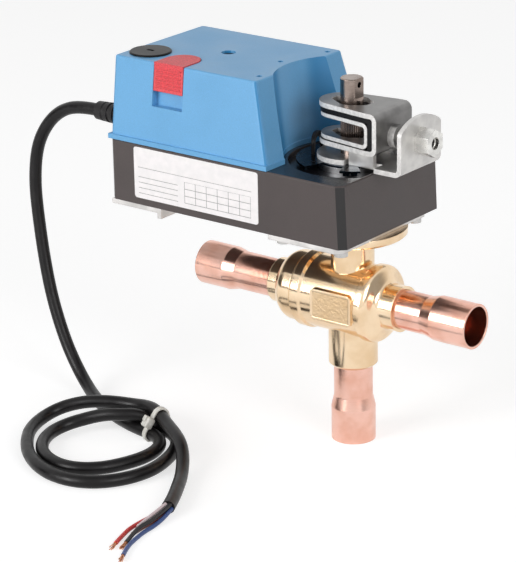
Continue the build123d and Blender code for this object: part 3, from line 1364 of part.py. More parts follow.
# Five conductors fan out of the sheath's end
sheath_end = Vector(*tail_route[-1])
sheath_run = (sheath_end - Vector(*tail_route[-2])).normalized()
sheath_side = Vector(-sheath_run.Y, sheath_run.X, 0)
conductor_routes = {
    "conductor_red": (198, [(-15.6, -109.6, 1.5), (-16.6, -116.3, 0.9), (-16.4, -123.2, 0.9),
                            (-14.6, -129.6, 0.9), (-12.4, -136.2, 0.9)]),
    "conductor_grey": (126, [(-14.3, -109.9, 3.2), (-14.0, -115.2, 2.7), (-14.6, -120.6, 1.0)]),
    "conductor_black": (270, [(-12.6, -109.6, 1.0), (-12.8, -116.2, 0.9), (-12.7, -122.8, 0.9),
                              (-11.2, -128.4, 0.9), (-9.6, -133.4, 0.9)]),
    "conductor_blue": (342, [(-10.6, -109.6, 1.8), (-10.2, -115.9, 0.9), (-9.9, -122.8, 0.9),
                             (-8.6, -129.4, 0.9), (-6.8, -136.0, 0.9), (-3.4, -142.4, 0.9)]),
    "conductor_brown": (54, [(-12.0, -110.2, 3.4), (-11.6, -116.4, 2.6), (-11.4, -122.5, 2.5),
                             (-10.6, -128.0, 2.7)]),
}
conductors = {}
for name, (angle, route) in conductor_routes.items():
    offset = sheath_side * (CONDUCTOR_RING_R * cos(radians(angle)))
    start = sheath_end + offset + Vector(0, 0, CONDUCTOR_RING_R * sin(radians(angle)))
    conductors[name] = cord_tube([tuple(start)] + route, WIRE_D)

pieces = {
    "valve_body": valve_body.part,
    "end_connector": end_connector.part,
    "run_tube_left": run_tube_left,
    "run_tube_right": run_tube_right,
    "branch_tube": branch_tube,
    "ball": ball.part,
    "seat_left": seat_left,
    "seat_right": seat_right,
    "valve_shaft": valve_shaft.part,
    "stem_seals": stem_seals.part,
    "gland_nut": gland_nut.part,
    "bonnet_flange": bonnet_flange.part,
    "flange_screws": flange_screws.part,
    "mounting_plate": mounting_plate.part,
    "plate_screws": plate_screws.part,
    "left_bracket": left_bracket.part,
    "bracket_screws": bracket_screws.part,
    "gearbox_housing": gearbox_housing.part,
    "top_cover": top_cover.part,
    "cover_screws": cover_screws.part,
    "adjust_screw": adjust_screw.part,
    "disc_plug": disc_plug.part,
    "release_slider": release_slider.part,
    "cable_gland": cable_gland.part,
    "drive_hub": drive_hub.part,
    "output_gear": output_gear.part,
    "idler_gear": idler_gear.part,
    "idler_axle": idler_axle.part,
    "motor_pinion": motor_pinion.part,
    "motor": motor.part,
    "gear_plate": gear_plate.part,
    "circuit_board": circuit_board.part,
    "indicator_plate": indicator_plate.part,
    "clamp_base": clamp_base.part,
    "clamp_yoke": clamp_yoke.part,
    "clamp_insert": clamp_insert.part,
    "clamp_liner": clamp_liner.part,
    "clamp_bolt": clamp_bolt.part,
    "clamp_pointer": clamp_pointer.part,
    "cable_drop": cable_drop,
    "cable_coil": cable_coil.part,
    "cable_tail": cable_tail,
    "cable_tie": cable_tie.part,
    **conductors,
}
os.makedirs("parts", exist_ok=True)
for name, piece in pieces.items():
    piece.label = name
    export_step(piece, f"parts/{name}.step")
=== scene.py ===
from math import cos, radians, sin, tau

import bmesh
import bpy
from mathutils import Matrix, Vector


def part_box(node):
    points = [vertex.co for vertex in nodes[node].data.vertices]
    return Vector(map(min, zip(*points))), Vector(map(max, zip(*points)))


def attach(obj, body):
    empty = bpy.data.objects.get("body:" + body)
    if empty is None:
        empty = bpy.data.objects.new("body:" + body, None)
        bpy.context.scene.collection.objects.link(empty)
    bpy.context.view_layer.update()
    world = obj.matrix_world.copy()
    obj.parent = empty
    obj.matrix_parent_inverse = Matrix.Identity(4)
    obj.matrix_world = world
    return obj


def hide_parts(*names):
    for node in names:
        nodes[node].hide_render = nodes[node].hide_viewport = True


# Looks of the motorized ball valve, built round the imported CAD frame, in metres
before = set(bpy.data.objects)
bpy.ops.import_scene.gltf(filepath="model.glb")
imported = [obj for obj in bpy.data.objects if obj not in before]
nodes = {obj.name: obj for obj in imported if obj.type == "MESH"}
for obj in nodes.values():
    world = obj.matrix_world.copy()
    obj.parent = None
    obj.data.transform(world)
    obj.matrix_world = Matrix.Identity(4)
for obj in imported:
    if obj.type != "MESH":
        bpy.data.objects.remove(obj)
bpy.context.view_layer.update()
HOUSING_BODY = "valve_and_housing"

# Camera: the photograph's viewpoint
CAMERA_PLACE = Vector((0.58392, -0.80896, 0.43118))
CAMERA_TARGET = Vector((-0.04856, 0.0, 0.05763))
CAMERA_ROLL = radians(-1.07)
CAMERA_LENS = 168.65
CAMERA_CLIP_START = 0.05

# Valve: the bordered pads on its body, and the heat tint on the upper side of its run tubes
PAD_Z = 0.061
PAD_HALF_LENGTH = 0.010
PAD_HALF_HEIGHT = 0.0065
PAD_BORDER = 0.0009
PAD_FACE_Y = 0.0156
PAD_SKIN_FADE = 0.0004
RUN_MIDDLE_X = -0.006
TINT_FULL_REACH = 0.031
TINT_END_REACH = 0.046
TINT_START_Z = 0.060
TINT_FULL_Z = 0.064

# Clamp: its base's bent cheeks, its bolt, and the serrations that it bites on the shaft
CHEEK_NEAR_X = 0.0048
CHEEK_FAR_X = 0.0174
BOLT_Z = 0.1324
# The bolt's socket, where a dark disc of painted shade goes on the head
BOLT_SOCKET_X = 0.030
BOLT_SOCKET_R = 0.0021
SERRATION_LOW = 0.1262
SERRATION_HIGH = 0.1392
SERRATION_TEETH = 38

# Cable, its conductors and their bared strands
CABLE_D = 0.0054
SHEATH_RING_R = 0.0015
WIRE_D = 0.0017
CONDUCTOR_LENGTHS = {"red": 0.0329, "black": 0.0304, "blue": 0.0410}
STRAND_D = 0.00034
STRAND_COUNT = 9
STRAND_LENGTH = 0.0050
STRAND_HIDDEN = 0.0006
STRAND_SPREAD = 0.00045

# Tie: where it crosses the strands; a place in it is an offset and a height
TIE_CENTRE = Vector((-0.0640, -0.0499, 0.0))
TIE_ANGLE = radians(66)
TIE_STRANDS = ((-0.0026, 0.0030), (0.0038, 0.0035), (0.0021, 0.0101))
TIE_CLEARANCE = 0.0001
TIE_THICK = 0.0008
TIE_WIDTH = 0.0024
TIE_STEPS = 36
TIE_HEAD = (-0.0037, 0.0083)
TIE_HEAD_SIZE = (0.0042, 0.0046, 0.0036)
TIE_HEAD_EDGE = 0.0007
TIE_HEAD_TILT = radians(56)
TIE_TAIL = (-0.0049, 0.0105)
TIE_TAIL_SIZE = (0.0020, 0.0024, 0.0011)
TIE_TAIL_EDGE = 0.0003
TIE_FLOOR_GAP = 0.0001

# Label on the front of the housing
LABEL_LEFT = -0.0852
LABEL_RIGHT = -0.0216
LABEL_LOW = 0.0967
LABEL_HIGH = 0.1183
LABEL_THICK = 0.00012
LABEL_CORNER = 0.0012
LABEL_CORNER_STEPS = 6
LABEL_RIM_DEPTH = 0.00004
LABEL_RIM_INSET = 0.00006

# Blank print on the label, from its left and lower edges
GRID_ACROSS = (0.0262, 0.05995)
GRID_UP = (0.0021, 0.01105)
GRID_COLUMN = 0.0056
GRID_ROW = 0.00295
GRID_LINE = 0.00024
ENTRY_ACROSS = (0.0022, 0.0228)
ENTRY_UP = (0.0018, 0.0112)
ENTRY_FIRST = 0.0021
ENTRY_PITCH = 0.0023
ENTRY_LINE = 0.00022
RULE_ACROSS = (0.0022, 0.0604)
RULE_UP = (0.0131, 0.0133)

# Studio: the floor, the world's light, and its dark flags as direction and darkness
FLOOR_HALF = 3.0
FLOOR_GREY = 0.5
FLOOR_GLOW = 0.68
WORLD_LIGHT = 0.29
FLAGS = (((-0.80, -0.60, 0.05), 0.9), ((0.93, 0.30, 0.15), 0.6), ((0.0, 0.1, 1.0), 0.45))
FLAG_START = 0.80
FLAG_FULL = 0.95


def add_camera():
    camera = bpy.data.objects.new("camera", bpy.data.cameras.new("camera"))
    camera.data.lens = CAMERA_LENS
    camera.data.clip_start = CAMERA_CLIP_START
    camera.location = CAMERA_PLACE
    aim = (CAMERA_TARGET - CAMERA_PLACE).to_track_quat("-Z", "Y").to_matrix()
    camera.rotation_mode = "QUATERNION"
    camera.rotation_quaternion = (aim @ Matrix.Rotation(CAMERA_ROLL, 3, "Z")).to_quaternion()
    bpy.context.scene.collection.objects.link(camera)
    bpy.context.scene.camera = camera


add_camera()


def srgb(red, green, blue):
    """Linear colour of an sRGB one given from 0 to 255."""
    linear = []
    for channel in (red, green, blue):
        share = channel / 255
        linear.append(share / 12.92 if share <= 0.04045 else ((share + 0.055) / 1.055) ** 2.4)
    return (*linear, 1.0)


def scaled(color, factor, lift=0.0):
    """The colour made darker or lighter."""
    return (*(min(1.0, channel * factor + lift) for channel in color[:3]), 1.0)


class Surface:
    """A Principled material, with short calls for the nodes that feed it."""

    def __init__(self, name, color, roughness, metallic=0.0, specular=0.5):
        self.material = bpy.data.materials.new(name)
        self.material.use_nodes = True
        self.tree = self.material.node_tree
        self.shader = self.tree.nodes["Principled BSDF"]
        self.shader.inputs["Base Color"].default_value = color
        self.shader.inputs["Roughness"].default_value = roughness
        self.shader.inputs["Metallic"].default_value = metallic
        self.shader.inputs["Specular IOR Level"].default_value = specular
        self.coords = self.node("ShaderNodeTexCoord")

    def node(self, kind, **settings):
        made = self.tree.nodes.new(kind)
        for key, value in settings.items():
            setattr(made, key, value)
        return made

    def feed(self, socket, value):
        """Links a socket into another, or sets a plain value on it."""
        if isinstance(value, bpy.types.NodeSocket):
            self.tree.links.new(value, socket)
        else:
            socket.default_value = value

    def math(self, operation, first, second=0.0):
        made = self.node("ShaderNodeMath", operation=operation)
        self.feed(made.inputs[0], first)
        self.feed(made.inputs[1], second)
        return made.outputs[0]

    def plus(self, first, second):
        return self.math("ADD", first, second)

    def minus(self, first, second):
        return self.math("SUBTRACT", first, second)

    def times(self, first, second):
        return self.math("MULTIPLY", first, second)

    def absolute(self, value):
        return self.math("ABSOLUTE", value)

    def within(self, value, low, high):
        """1 between the limits and 0 outside."""
        return self.times(self.math("GREATER_THAN", value, low), self.math("LESS_THAN", value, high))

    def split(self, vector):
        made = self.node("ShaderNodeSeparateXYZ")
        self.feed(made.inputs[0], vector)
        return made.outputs

    def place(self):
        """X, Y and Z in the row frame."""
        return self.split(self.coords.outputs["Object"])

    def facing(self):
        """X, Y and Z of the way that the surface faces."""
        return self.split(self.coords.outputs["Normal"])

    def noise(self, scale, detail=3.0, stretch=None, roughness=0.5):
        made = self.node("ShaderNodeTexNoise")
        vector = self.coords.outputs["Object"]
        if stretch:
            mapping = self.node("ShaderNodeMapping")
            self.feed(mapping.inputs["Vector"], vector)
            mapping.inputs["Scale"].default_value = stretch
            vector = mapping.outputs[0]
        self.feed(made.inputs["Vector"], vector)
        made.inputs["Scale"].default_value = scale
        made.inputs["Detail"].default_value = detail
        made.inputs["Roughness"].default_value = roughness
        return made.outputs["Fac"]

    def span(self, value, low, high, to_low=0.0, to_high=1.0):
        """Maps a value from one range to another, smoothly, and keeps it inside."""
        made = self.node("ShaderNodeMapRange", interpolation_type="SMOOTHSTEP")
        for socket, number in zip(made.inputs[:5], (value, low, high, to_low, to_high)):
            self.feed(socket, number)
        return made.outputs[0]

    def blend(self, factor, first, second):
        """A mix of two colours."""
        made = self.node("ShaderNodeMix", data_type="RGBA")
        self.feed(made.inputs["Factor"], factor)
        self.feed(made.inputs[6], first)
        self.feed(made.inputs[7], second)
        return made.outputs[2]

    def color(self, value):
        self.feed(self.shader.inputs["Base Color"], value)

    def rough(self, value):
        self.feed(self.shader.inputs["Roughness"], value)

    def metal(self, value):
        self.feed(self.shader.inputs["Metallic"], value)

    def relief(self, height, distance, soft_edge=0.0003):
        """Fine relief, in metres, over edges that look rounded by soft_edge."""
        bump = self.node("ShaderNodeBump")
        bump.inputs["Distance"].default_value = distance
        self.feed(bump.inputs["Height"], height)
        if soft_edge:
            bevel = self.node("ShaderNodeBevel", samples=4)
            bevel.inputs["Radius"].default_value = soft_edge
            self.feed(bump.inputs["Normal"], bevel.outputs[0])
        self.feed(self.shader.inputs["Normal"], bump.outputs[0])


def dress(surface, *names):
    """Gives the surface to CAD nodes."""
    for name in names:
        materials = nodes[name].data.materials
        materials.clear()
        materials.append(surface.material)


def link(name, data, surface):
    """A new piece with the surface, riding on the housing's body."""
    data.materials.append(surface.material)
    piece = bpy.data.objects.new(name, data)
    bpy.context.scene.collection.objects.link(piece)
    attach(piece, HOUSING_BODY)
    return piece


# Materials
def moulded(name, color, roughness, grain=2600, depth=0.00003, variation=0.08, contrast=0.18,
            top_painted_shade=None, edge_painted_shade=None, specular=0.5):
    """Spark-eroded plastic with a fine grain, and painted shade, when its colours are given, on upward
    faces, which are also made glossier, and on upright corners.
    """
    plastic = Surface(name, color, roughness, specular=specular)
    fine = plastic.noise(grain, detail=2)
    broad = plastic.noise(45, detail=2)
    shade = plastic.span(broad, 0.3, 0.7, 1 - variation, 1 + variation)
    dark = scaled(color, 1 - contrast)
    light = scaled(color, 1 + contrast, 0.001)
    grained = plastic.blend(plastic.span(fine, 0.3, 0.7), dark, light)
    tone = plastic.blend(plastic.minus(1.0, shade), grained, (0, 0, 0, 1))
    gloss = plastic.span(broad, 0.25, 0.75, roughness - 0.05, roughness + 0.06)
    # Upward faces take the darker top colour, which is painted shade; they are also made glossier.
    if top_painted_shade:
        top = plastic.span(plastic.facing()[2], 0.9, 0.98)
        tone = plastic.blend(top, tone, top_painted_shade)
        gloss = plastic.minus(gloss, plastic.times(top, 0.14))
    # Upright corners, facing halfway between X and Y, take the corner colour, which is painted shade.
    if edge_painted_shade:
        x, y, _ = plastic.facing()
        corner_painted_shade_mask = plastic.span(plastic.absolute(plastic.times(x, y)), 0.22, 0.4)
        tone = plastic.blend(corner_painted_shade_mask, tone, edge_painted_shade)
    plastic.color(tone)
    plastic.rough(gloss)
    plastic.relief(fine, depth)
    return plastic


def forged_brass(name):
    """Polished brass, pale gold, with a rough cast skin inside each pad's border."""
    brass = Surface(name, srgb(242, 224, 188), 0.15, metallic=1.0)
    broad = brass.noise(70, detail=4)
    fine = brass.noise(1500, detail=3)
    tint = brass.blend(brass.span(broad, 0.35, 0.68), srgb(244, 219, 186), srgb(230, 199, 160))
    x, y, z = brass.place()
    past_end = brass.minus(brass.absolute(x), PAD_HALF_LENGTH - PAD_BORDER)
    past_side = brass.minus(brass.absolute(brass.minus(z, PAD_Z)), PAD_HALF_HEIGHT - PAD_BORDER)
    past = brass.math("MAXIMUM", past_end, past_side)
    on_pad = brass.math("GREATER_THAN", brass.absolute(y), PAD_FACE_Y)
    skin = brass.times(on_pad, brass.span(past, -PAD_SKIN_FADE, 0.0, 1.0, 0.0))
    brass.color(brass.blend(brass.times(skin, 0.35), tint, srgb(196, 158, 104)))
    brass.rough(brass.plus(brass.span(broad, 0.3, 0.75, 0.11, 0.19), brass.times(skin, 0.2)))
    cast = brass.times(brass.noise(900, detail=4), brass.times(skin, 6.0))
    sunk = brass.plus(cast, brass.times(skin, -9.0))
    brass.relief(brass.plus(sunk, brass.times(fine, 0.25)), 0.00004, soft_edge=0.0005)
    return brass


def drawn_copper(name):
    """Copper tube: drawing lines along it, and a darker heat tint beside the braze."""
    copper = Surface(name, srgb(236, 186, 168), 0.22, metallic=1.0)
    lines = copper.noise(900, detail=3, stretch=(0.03, 1, 1))
    cloud = copper.noise(120, detail=4)
    speck = copper.noise(420, detail=5, roughness=0.65)
    x, _, z = copper.place()
    reach = copper.absolute(copper.minus(x, RUN_MIDDLE_X))
    near = copper.span(reach, TINT_FULL_REACH, TINT_END_REACH, 1.0, 0.0)
    upper = copper.span(z, TINT_START_Z, TINT_FULL_Z)
    heat = copper.times(copper.times(near, upper), 0.7)
    patchy = copper.times(heat, copper.span(speck, 0.35, 0.65, 0.35, 1.0))
    clean = copper.blend(copper.span(cloud, 0.35, 0.7), srgb(240, 194, 178), srgb(230, 176, 156))
    tinted = copper.blend(patchy, clean, srgb(186, 96, 52))
    copper.color(copper.blend(copper.span(speck, 0.66, 0.78, 0.0, 0.2), tinted, srgb(176, 112, 90)))
    copper.rough(copper.span(cloud, 0.3, 0.75, 0.16, 0.24))
    copper.relief(lines, 0.00001, soft_edge=0.0004)
    return copper


def zinc_sheet(name, dull, clean, cut_test=None):
    """Zinc-plated pressed steel: satin grey between the dull and clean tones, whose level is painted light
    on some copies and painted shade on others, with brighter edges where cut_test finds a cut.
    """
    zinc = Surface(name, srgb(150, 149, 148), 0.36, metallic=0.9)
    broad = zinc.noise(160, detail=3)
    face = zinc.blend(zinc.span(broad, 0.3, 0.7), dull, clean)
    if cut_test:
        cut = cut_test(zinc)
        torn = zinc.span(zinc.noise(700, detail=3), 0.35, 0.65)
        face = zinc.blend(cut, face, zinc.blend(torn, srgb(232, 230, 227), srgb(212, 210, 208)))
        zinc.rough(zinc.plus(zinc.span(broad, 0.3, 0.7, 0.33, 0.42), zinc.times(cut, 0.12)))
        zinc.metal(zinc.minus(0.9, zinc.times(cut, 0.6)))
    else:
        zinc.rough(zinc.span(broad, 0.3, 0.7, 0.3, 0.4))
    zinc.color(face)
    zinc.relief(zinc.noise(2200, detail=3), 0.000012, soft_edge=0.00035)
    return zinc


def strap_cut(zinc):
    """1 on the cut edges of a strap that is bent about Y, whose faces point along X and Z."""
    _, y, z = zinc.facing()
    side = zinc.span(zinc.absolute(y), 0.35, 0.6)
    upright = zinc.span(zinc.absolute(z), 0.3, 0.5, 1.0, 0.0)
    round_end = zinc.times(upright, zinc.math("LESS_THAN", zinc.place()[0], 0.0))
    return zinc.math("MAXIMUM", side, round_end)


def base_cut(zinc):
    """1 on the cut edges of the clamp's base, and none on its bent cheeks."""
    cheek = zinc.within(zinc.place()[0], CHEEK_NEAR_X, CHEEK_FAR_X)
    return zinc.times(strap_cut(zinc), zinc.minus(1.0, cheek))


def turned_shaft(name):
    """Brownish turned steel with fine rings, and serrations where the clamp bites, whose valleys are
    darkened with painted shade.
    """
    steel = Surface(name, srgb(150, 138, 130), 0.27, metallic=1.0)
    rings = steel.noise(2600, detail=2, stretch=(0.02, 0.02, 1))
    cloud = steel.noise(220, detail=3)
    x, y, z = steel.place()
    teeth = steel.math("SINE", steel.times(steel.math("ARCTAN2", y, x), SERRATION_TEETH))
    bitten = steel.within(z, SERRATION_LOW, SERRATION_HIGH)
    # The serrations' valleys, which are darkened below with painted shade.
    valley_painted_shade = steel.times(bitten, steel.span(teeth, -0.6, 0.4, 1.0, 0.0))
    base = steel.blend(steel.span(cloud, 0.3, 0.7), srgb(158, 144, 136), srgb(134, 119, 111))
    ringed = steel.blend(steel.span(rings, 0.4, 0.62, 0.0, 0.22), base, srgb(116, 102, 94))
    steel.color(steel.blend(steel.times(valley_painted_shade, 0.75), ringed, srgb(62, 44, 36)))
    steel.rough(steel.span(cloud, 0.3, 0.7, 0.2, 0.3))
    height = steel.plus(steel.times(rings, 0.05), steel.times(teeth, bitten))
    steel.relief(height, 0.00016, soft_edge=0.0002)
    return steel


def plain_metal(name, color, roughness):
    """Bare metal with a slightly cloudy tone and gloss."""
    metal = Surface(name, color, roughness, metallic=1.0)
    cloud = metal.noise(300, detail=3)
    metal.color(metal.blend(metal.span(cloud, 0.3, 0.7), color, scaled(color, 0.86)))
    metal.rough(metal.span(cloud, 0.3, 0.7, roughness - 0.05, roughness + 0.07))
    metal.relief(metal.noise(1800, detail=2), 0.00001, soft_edge=0.00025)
    return metal


def socket_bolt(name):
    """Zinc-plated hexagon bolt; its socket is a dark disc of painted shade on the head."""
    bolt = Surface(name, srgb(206, 205, 203), 0.26, metallic=1.0)
    x, y, z = bolt.place()
    up = bolt.minus(z, BOLT_Z)
    radius = bolt.math("SQRT", bolt.plus(bolt.times(y, y), bolt.times(up, up)))
    on_head = bolt.math("GREATER_THAN", x, BOLT_SOCKET_X)
    # A disc on the head where the socket is, filled below with painted shade.
    inside = bolt.times(on_head, bolt.math("LESS_THAN", radius, BOLT_SOCKET_R))
    cloud = bolt.noise(260, detail=2)
    bright = bolt.blend(bolt.span(cloud, 0.3, 0.7), srgb(236, 235, 231), srgb(208, 207, 204))
    bolt.color(bolt.blend(inside, bright, srgb(40, 38, 38)))
    bolt.rough(bolt.span(cloud, 0.3, 0.7, 0.2, 0.32))
    bolt.relief(bolt.noise(1200), 0.000006)
    return bolt


def sheath(name, color, roughness, specular=0.5):
    """Extruded sheath of a cable or wire: a soft gloss with slight scuffs."""
    pvc = Surface(name, color, roughness, specular=specular)
    cloud = pvc.noise(260, detail=4)
    pvc.color(pvc.blend(pvc.span(cloud, 0.5, 0.75, 0.0, 0.6), color, scaled(color, 1.4, 0.004)))
    pvc.rough(pvc.span(cloud, 0.3, 0.75, roughness - 0.06, roughness + 0.1))
    pvc.relief(pvc.noise(2600, detail=2), 0.00002, soft_edge=0)
    return pvc


def nylon(name):
    """Natural nylon that lets some light through."""
    tie = Surface(name, srgb(226, 224, 214), 0.34)
    tie.shader.inputs["Transmission Weight"].default_value = 0.25
    cloud = tie.noise(500, detail=2)
    tie.color(tie.blend(tie.span(cloud, 0.3, 0.7), srgb(246, 244, 238), srgb(230, 227, 218)))
    tie.relief(tie.noise(1600), 0.00001, soft_edge=0)
    return tie


def ruled_label(name):
    """Off-white label paper with a grid of blank boxes, blank entry lines and a rule above them."""
    paper = Surface(name, srgb(232, 231, 229), 0.42)
    x, _, z = paper.place()
    across = paper.minus(x, LABEL_LEFT)
    up = paper.minus(z, LABEL_LOW)

    def area(across_limits, up_limits):
        return paper.times(paper.within(across, *across_limits), paper.within(up, *up_limits))

    def lines(value, start, pitch, width):
        """1 on lines a pitch apart; 40 pitches keep the value above zero before its start."""
        shifted = paper.plus(paper.minus(value, start), pitch * 40)
        return paper.math("LESS_THAN", paper.math("MODULO", shifted, pitch), width)

    columns = lines(across, GRID_ACROSS[0], GRID_COLUMN, GRID_LINE)
    rows = lines(up, GRID_UP[0], GRID_ROW, GRID_LINE)
    grid = paper.times(paper.math("MAXIMUM", columns, rows), area(GRID_ACROSS, GRID_UP))
    entry = paper.times(lines(up, ENTRY_FIRST, ENTRY_PITCH, ENTRY_LINE), area(ENTRY_ACROSS, ENTRY_UP))
    rule = area(RULE_ACROSS, RULE_UP)
    ink = paper.math("MAXIMUM", paper.math("MAXIMUM", grid, entry), rule)
    mottled = paper.blend(paper.span(paper.noise(300), 0.3, 0.7), srgb(250, 246, 246), srgb(242, 239, 239))
    paper.color(paper.blend(paper.times(ink, 0.75), mottled, srgb(60, 58, 60)))
    paper.relief(paper.noise(1500), 0.000006, soft_edge=0)
    return paper


# Finishes of the CAD nodes
# The housing's darker top colour and its corner colour are painted shade on its upward faces and upright
# corners.
housing_black = moulded("black_moulding", srgb(70, 61, 60), 0.36, depth=0.00002, contrast=0.12,
                        top_painted_shade=srgb(26, 26, 30), edge_painted_shade=srgb(24, 22, 23))
# The cover's deeper blue corner colour is painted shade on its upright corners.
cover_blue = moulded("blue_moulding", srgb(104, 170, 218), 0.36, depth=0.00001, variation=0.03,
                     contrast=0.05, edge_painted_shade=srgb(52, 134, 188))
slider_red = moulded("red_moulding", srgb(222, 70, 78), 0.42, grain=1700, depth=0.00007, variation=0.05)
fitting_black = moulded("black_fitting", srgb(22, 21, 22), 0.34, depth=0.000015, specular=0.14)
# One zinc plating in three copies: the strap's is darker as painted shade, the base's and the plate's are
# lighter as painted light.
strap_zinc_painted_shade = zinc_sheet("zinc_strap_painted_shade", srgb(118, 117, 116), srgb(138, 137, 136), strap_cut)
base_zinc_painted_light = zinc_sheet("zinc_base_painted_light", srgb(196, 194, 192), srgb(218, 216, 213), base_cut)
plate_zinc_painted_light = zinc_sheet("zinc_plate_painted_light", srgb(202, 199, 197), srgb(222, 219, 217))
bright_steel = plain_metal("bright_steel", srgb(198, 196, 194), 0.24)
motor_steel = plain_metal("motor_can", srgb(176, 176, 178), 0.32)

dress(housing_black, "gearbox_housing")
dress(cover_blue, "top_cover")
dress(slider_red, "release_slider")
dress(fitting_black, "clamp_liner", "clamp_pointer", "disc_plug", "adjust_screw")
dress(moulded("gland_rubber", srgb(28, 26, 27), 0.46, specular=0.3), "cable_gland")
dress(forged_brass("polished_brass"), "valve_body", "end_connector", "gland_nut", "bonnet_flange")
dress(drawn_copper("drawn_copper"), "run_tube_left", "run_tube_right", "branch_tube")
dress(turned_shaft("turned_shaft"), "valve_shaft")
dress(strap_zinc_painted_shade, "clamp_yoke", "clamp_insert")
dress(base_zinc_painted_light, "clamp_base")
dress(plate_zinc_painted_light, "mounting_plate", "left_bracket", "gear_plate")
dress(socket_bolt("clamp_bolt_zinc"), "clamp_bolt")
dress(bright_steel, "ball", "plate_screws", "bracket_screws", "flange_screws", "cover_screws")
dress(plain_metal("indicator_finish", srgb(46, 56, 66), 0.22), "indicator_plate")
dress(motor_steel, "motor", "drive_hub", "idler_axle", "motor_pinion")
dress(moulded("gear_nylon", srgb(226, 222, 208), 0.5), "idler_gear", "output_gear")
dress(moulded("seal_rubber_black", srgb(26, 26, 26), 0.6), "stem_seals")
dress(moulded("ptfe_white", srgb(236, 236, 232), 0.4), "seat_left", "seat_right")
dress(moulded("board_lacquer", srgb(24, 92, 60), 0.35), "circuit_board")


# Cable: out of the gland, down in the air, twice round the coil, and out to the bared wires
def round_curve(name, diameter, bevel_resolution):
    """A curve without splines yet, with a round section."""
    curve = bpy.data.curves.new(name, "CURVE")
    curve.dimensions = "3D"
    curve.bevel_depth = diameter / 2
    curve.bevel_resolution = bevel_resolution
    curve.use_fill_caps = True
    return curve


def add_spline(curve, points):
    """A NURBS spline with the points as its control points."""
    spline = curve.splines.new("NURBS")
    spline.points.add(len(points) - 1)
    for control, point in zip(spline.points, points):
        control.co = (*point, 1.0)
    spline.order_u = 3
    spline.use_endpoint_u = True


def cord_curve(name, points, diameter, surface):
    """A smooth round cord along the route's points."""
    curve = round_curve(name, diameter, 7)
    curve.resolution_u = 10
    add_spline(curve, points)
    return link(name, curve, surface)


drop_route = [
    (-0.1172, -0.0173, 0.1243),
    (-0.1280, -0.0173, 0.1243),
    (-0.1384, -0.0176, 0.1209),
    (-0.1466, -0.0181, 0.1134),
    (-0.1522, -0.0188, 0.1026),
    (-0.1536, -0.0197, 0.0870),
    (-0.1512, -0.0208, 0.0700),
    (-0.1474, -0.0222, 0.0520),
    (-0.1426, -0.0236, 0.0360),
    (-0.1348, -0.0254, 0.0200),
    (-0.1270, -0.0270, 0.0096),
    (-0.1170, -0.0310, 0.0032),
    (-0.1040, -0.0394, 0.0030),
]
# Through the tie and round the inner turn
inner_turn = [
    (-0.0955, -0.0436, 0.0030),
    (-0.0870, -0.0472, 0.0030),
    (-0.0790, -0.0496, 0.0030),
    (-0.0724, -0.0510, 0.0030),
    (-0.0662, -0.0518, 0.0030),
    (-0.0594, -0.0540, 0.0030),
    (-0.0544, -0.0590, 0.0030),
    (-0.0520, -0.0658, 0.0030),
    (-0.0520, -0.0734, 0.0030),
    (-0.0542, -0.0814, 0.0030),
    (-0.0582, -0.0894, 0.0030),
    (-0.0644, -0.0952, 0.0030),
    (-0.0724, -0.0978, 0.0030),
    (-0.0810, -0.0964, 0.0030),
    (-0.0890, -0.0922, 0.0030),
    (-0.0952, -0.0856, 0.0030),
    (-0.0990, -0.0780, 0.0030),
    (-0.0996, -0.0712, 0.0034),
    (-0.0974, -0.0655, 0.0044),
]
# Up over the strand that comes in, through the tie, and round the outer turn
outer_turn = [
    (-0.0932, -0.0612, 0.0058),
    (-0.0884, -0.0583, 0.0074),
    (-0.0834, -0.0562, 0.0086),
    (-0.0788, -0.0540, 0.0088),
    (-0.0750, -0.0506, 0.0087),
    (-0.0711, -0.0476, 0.0071),
    (-0.0666, -0.0462, 0.0042),
    (-0.0608, -0.0462, 0.0030),
    (-0.0550, -0.0488, 0.0030),
    (-0.0500, -0.0536, 0.0030),
    (-0.0460, -0.0602, 0.0030),
    (-0.0432, -0.0682, 0.0030),
    (-0.0414, -0.0772, 0.0030),
    (-0.0422, -0.0864, 0.0030),
    (-0.0458, -0.0950, 0.0030),
    (-0.0520, -0.1022, 0.0030),
    (-0.0602, -0.1062, 0.0030),
    (-0.0694, -0.1068, 0.0030),
    (-0.0786, -0.1046, 0.0030),
    (-0.0872, -0.1002, 0.0030),
    (-0.0952, -0.0944, 0.0030),
    (-0.1020, -0.0872, 0.0030),
    (-0.1078, -0.0796, 0.0030),
    (-0.1112, -0.0716, 0.0032),
    (-0.1120, -0.0640, 0.0040),
]
# Over everything once more, down past the outer turn, and along the floor
tail = [
    (-0.1098, -0.0580, 0.0056),
    (-0.1050, -0.0540, 0.0074),
    (-0.0990, -0.0508, 0.0088),
    (-0.0930, -0.0478, 0.0092),
    (-0.0874, -0.0450, 0.0090),
    (-0.0814, -0.0434, 0.0090),
    (-0.0756, -0.0432, 0.0098),
    (-0.0694, -0.0448, 0.0106),
    (-0.0626, -0.0482, 0.0100),
    (-0.0555, -0.0524, 0.0092),
    (-0.0482, -0.0570, 0.0090),
    (-0.0410, -0.0620, 0.0082),
    (-0.0350, -0.0680, 0.0054),
    (-0.0282, -0.0774, 0.0030),
    (-0.0220, -0.0878, 0.0030),
    (-0.0172, -0.0962, 0.0030),
    (-0.0137, -0.1035, 0.0030),
]
cable_black = sheath("cable_sheath", srgb(17, 15, 16), 0.34, specular=0.26)
cable = cord_curve("power_cable", drop_route + inner_turn + outer_turn + tail, CABLE_D, cable_black)
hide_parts("cable_drop", "cable_coil", "cable_tail")

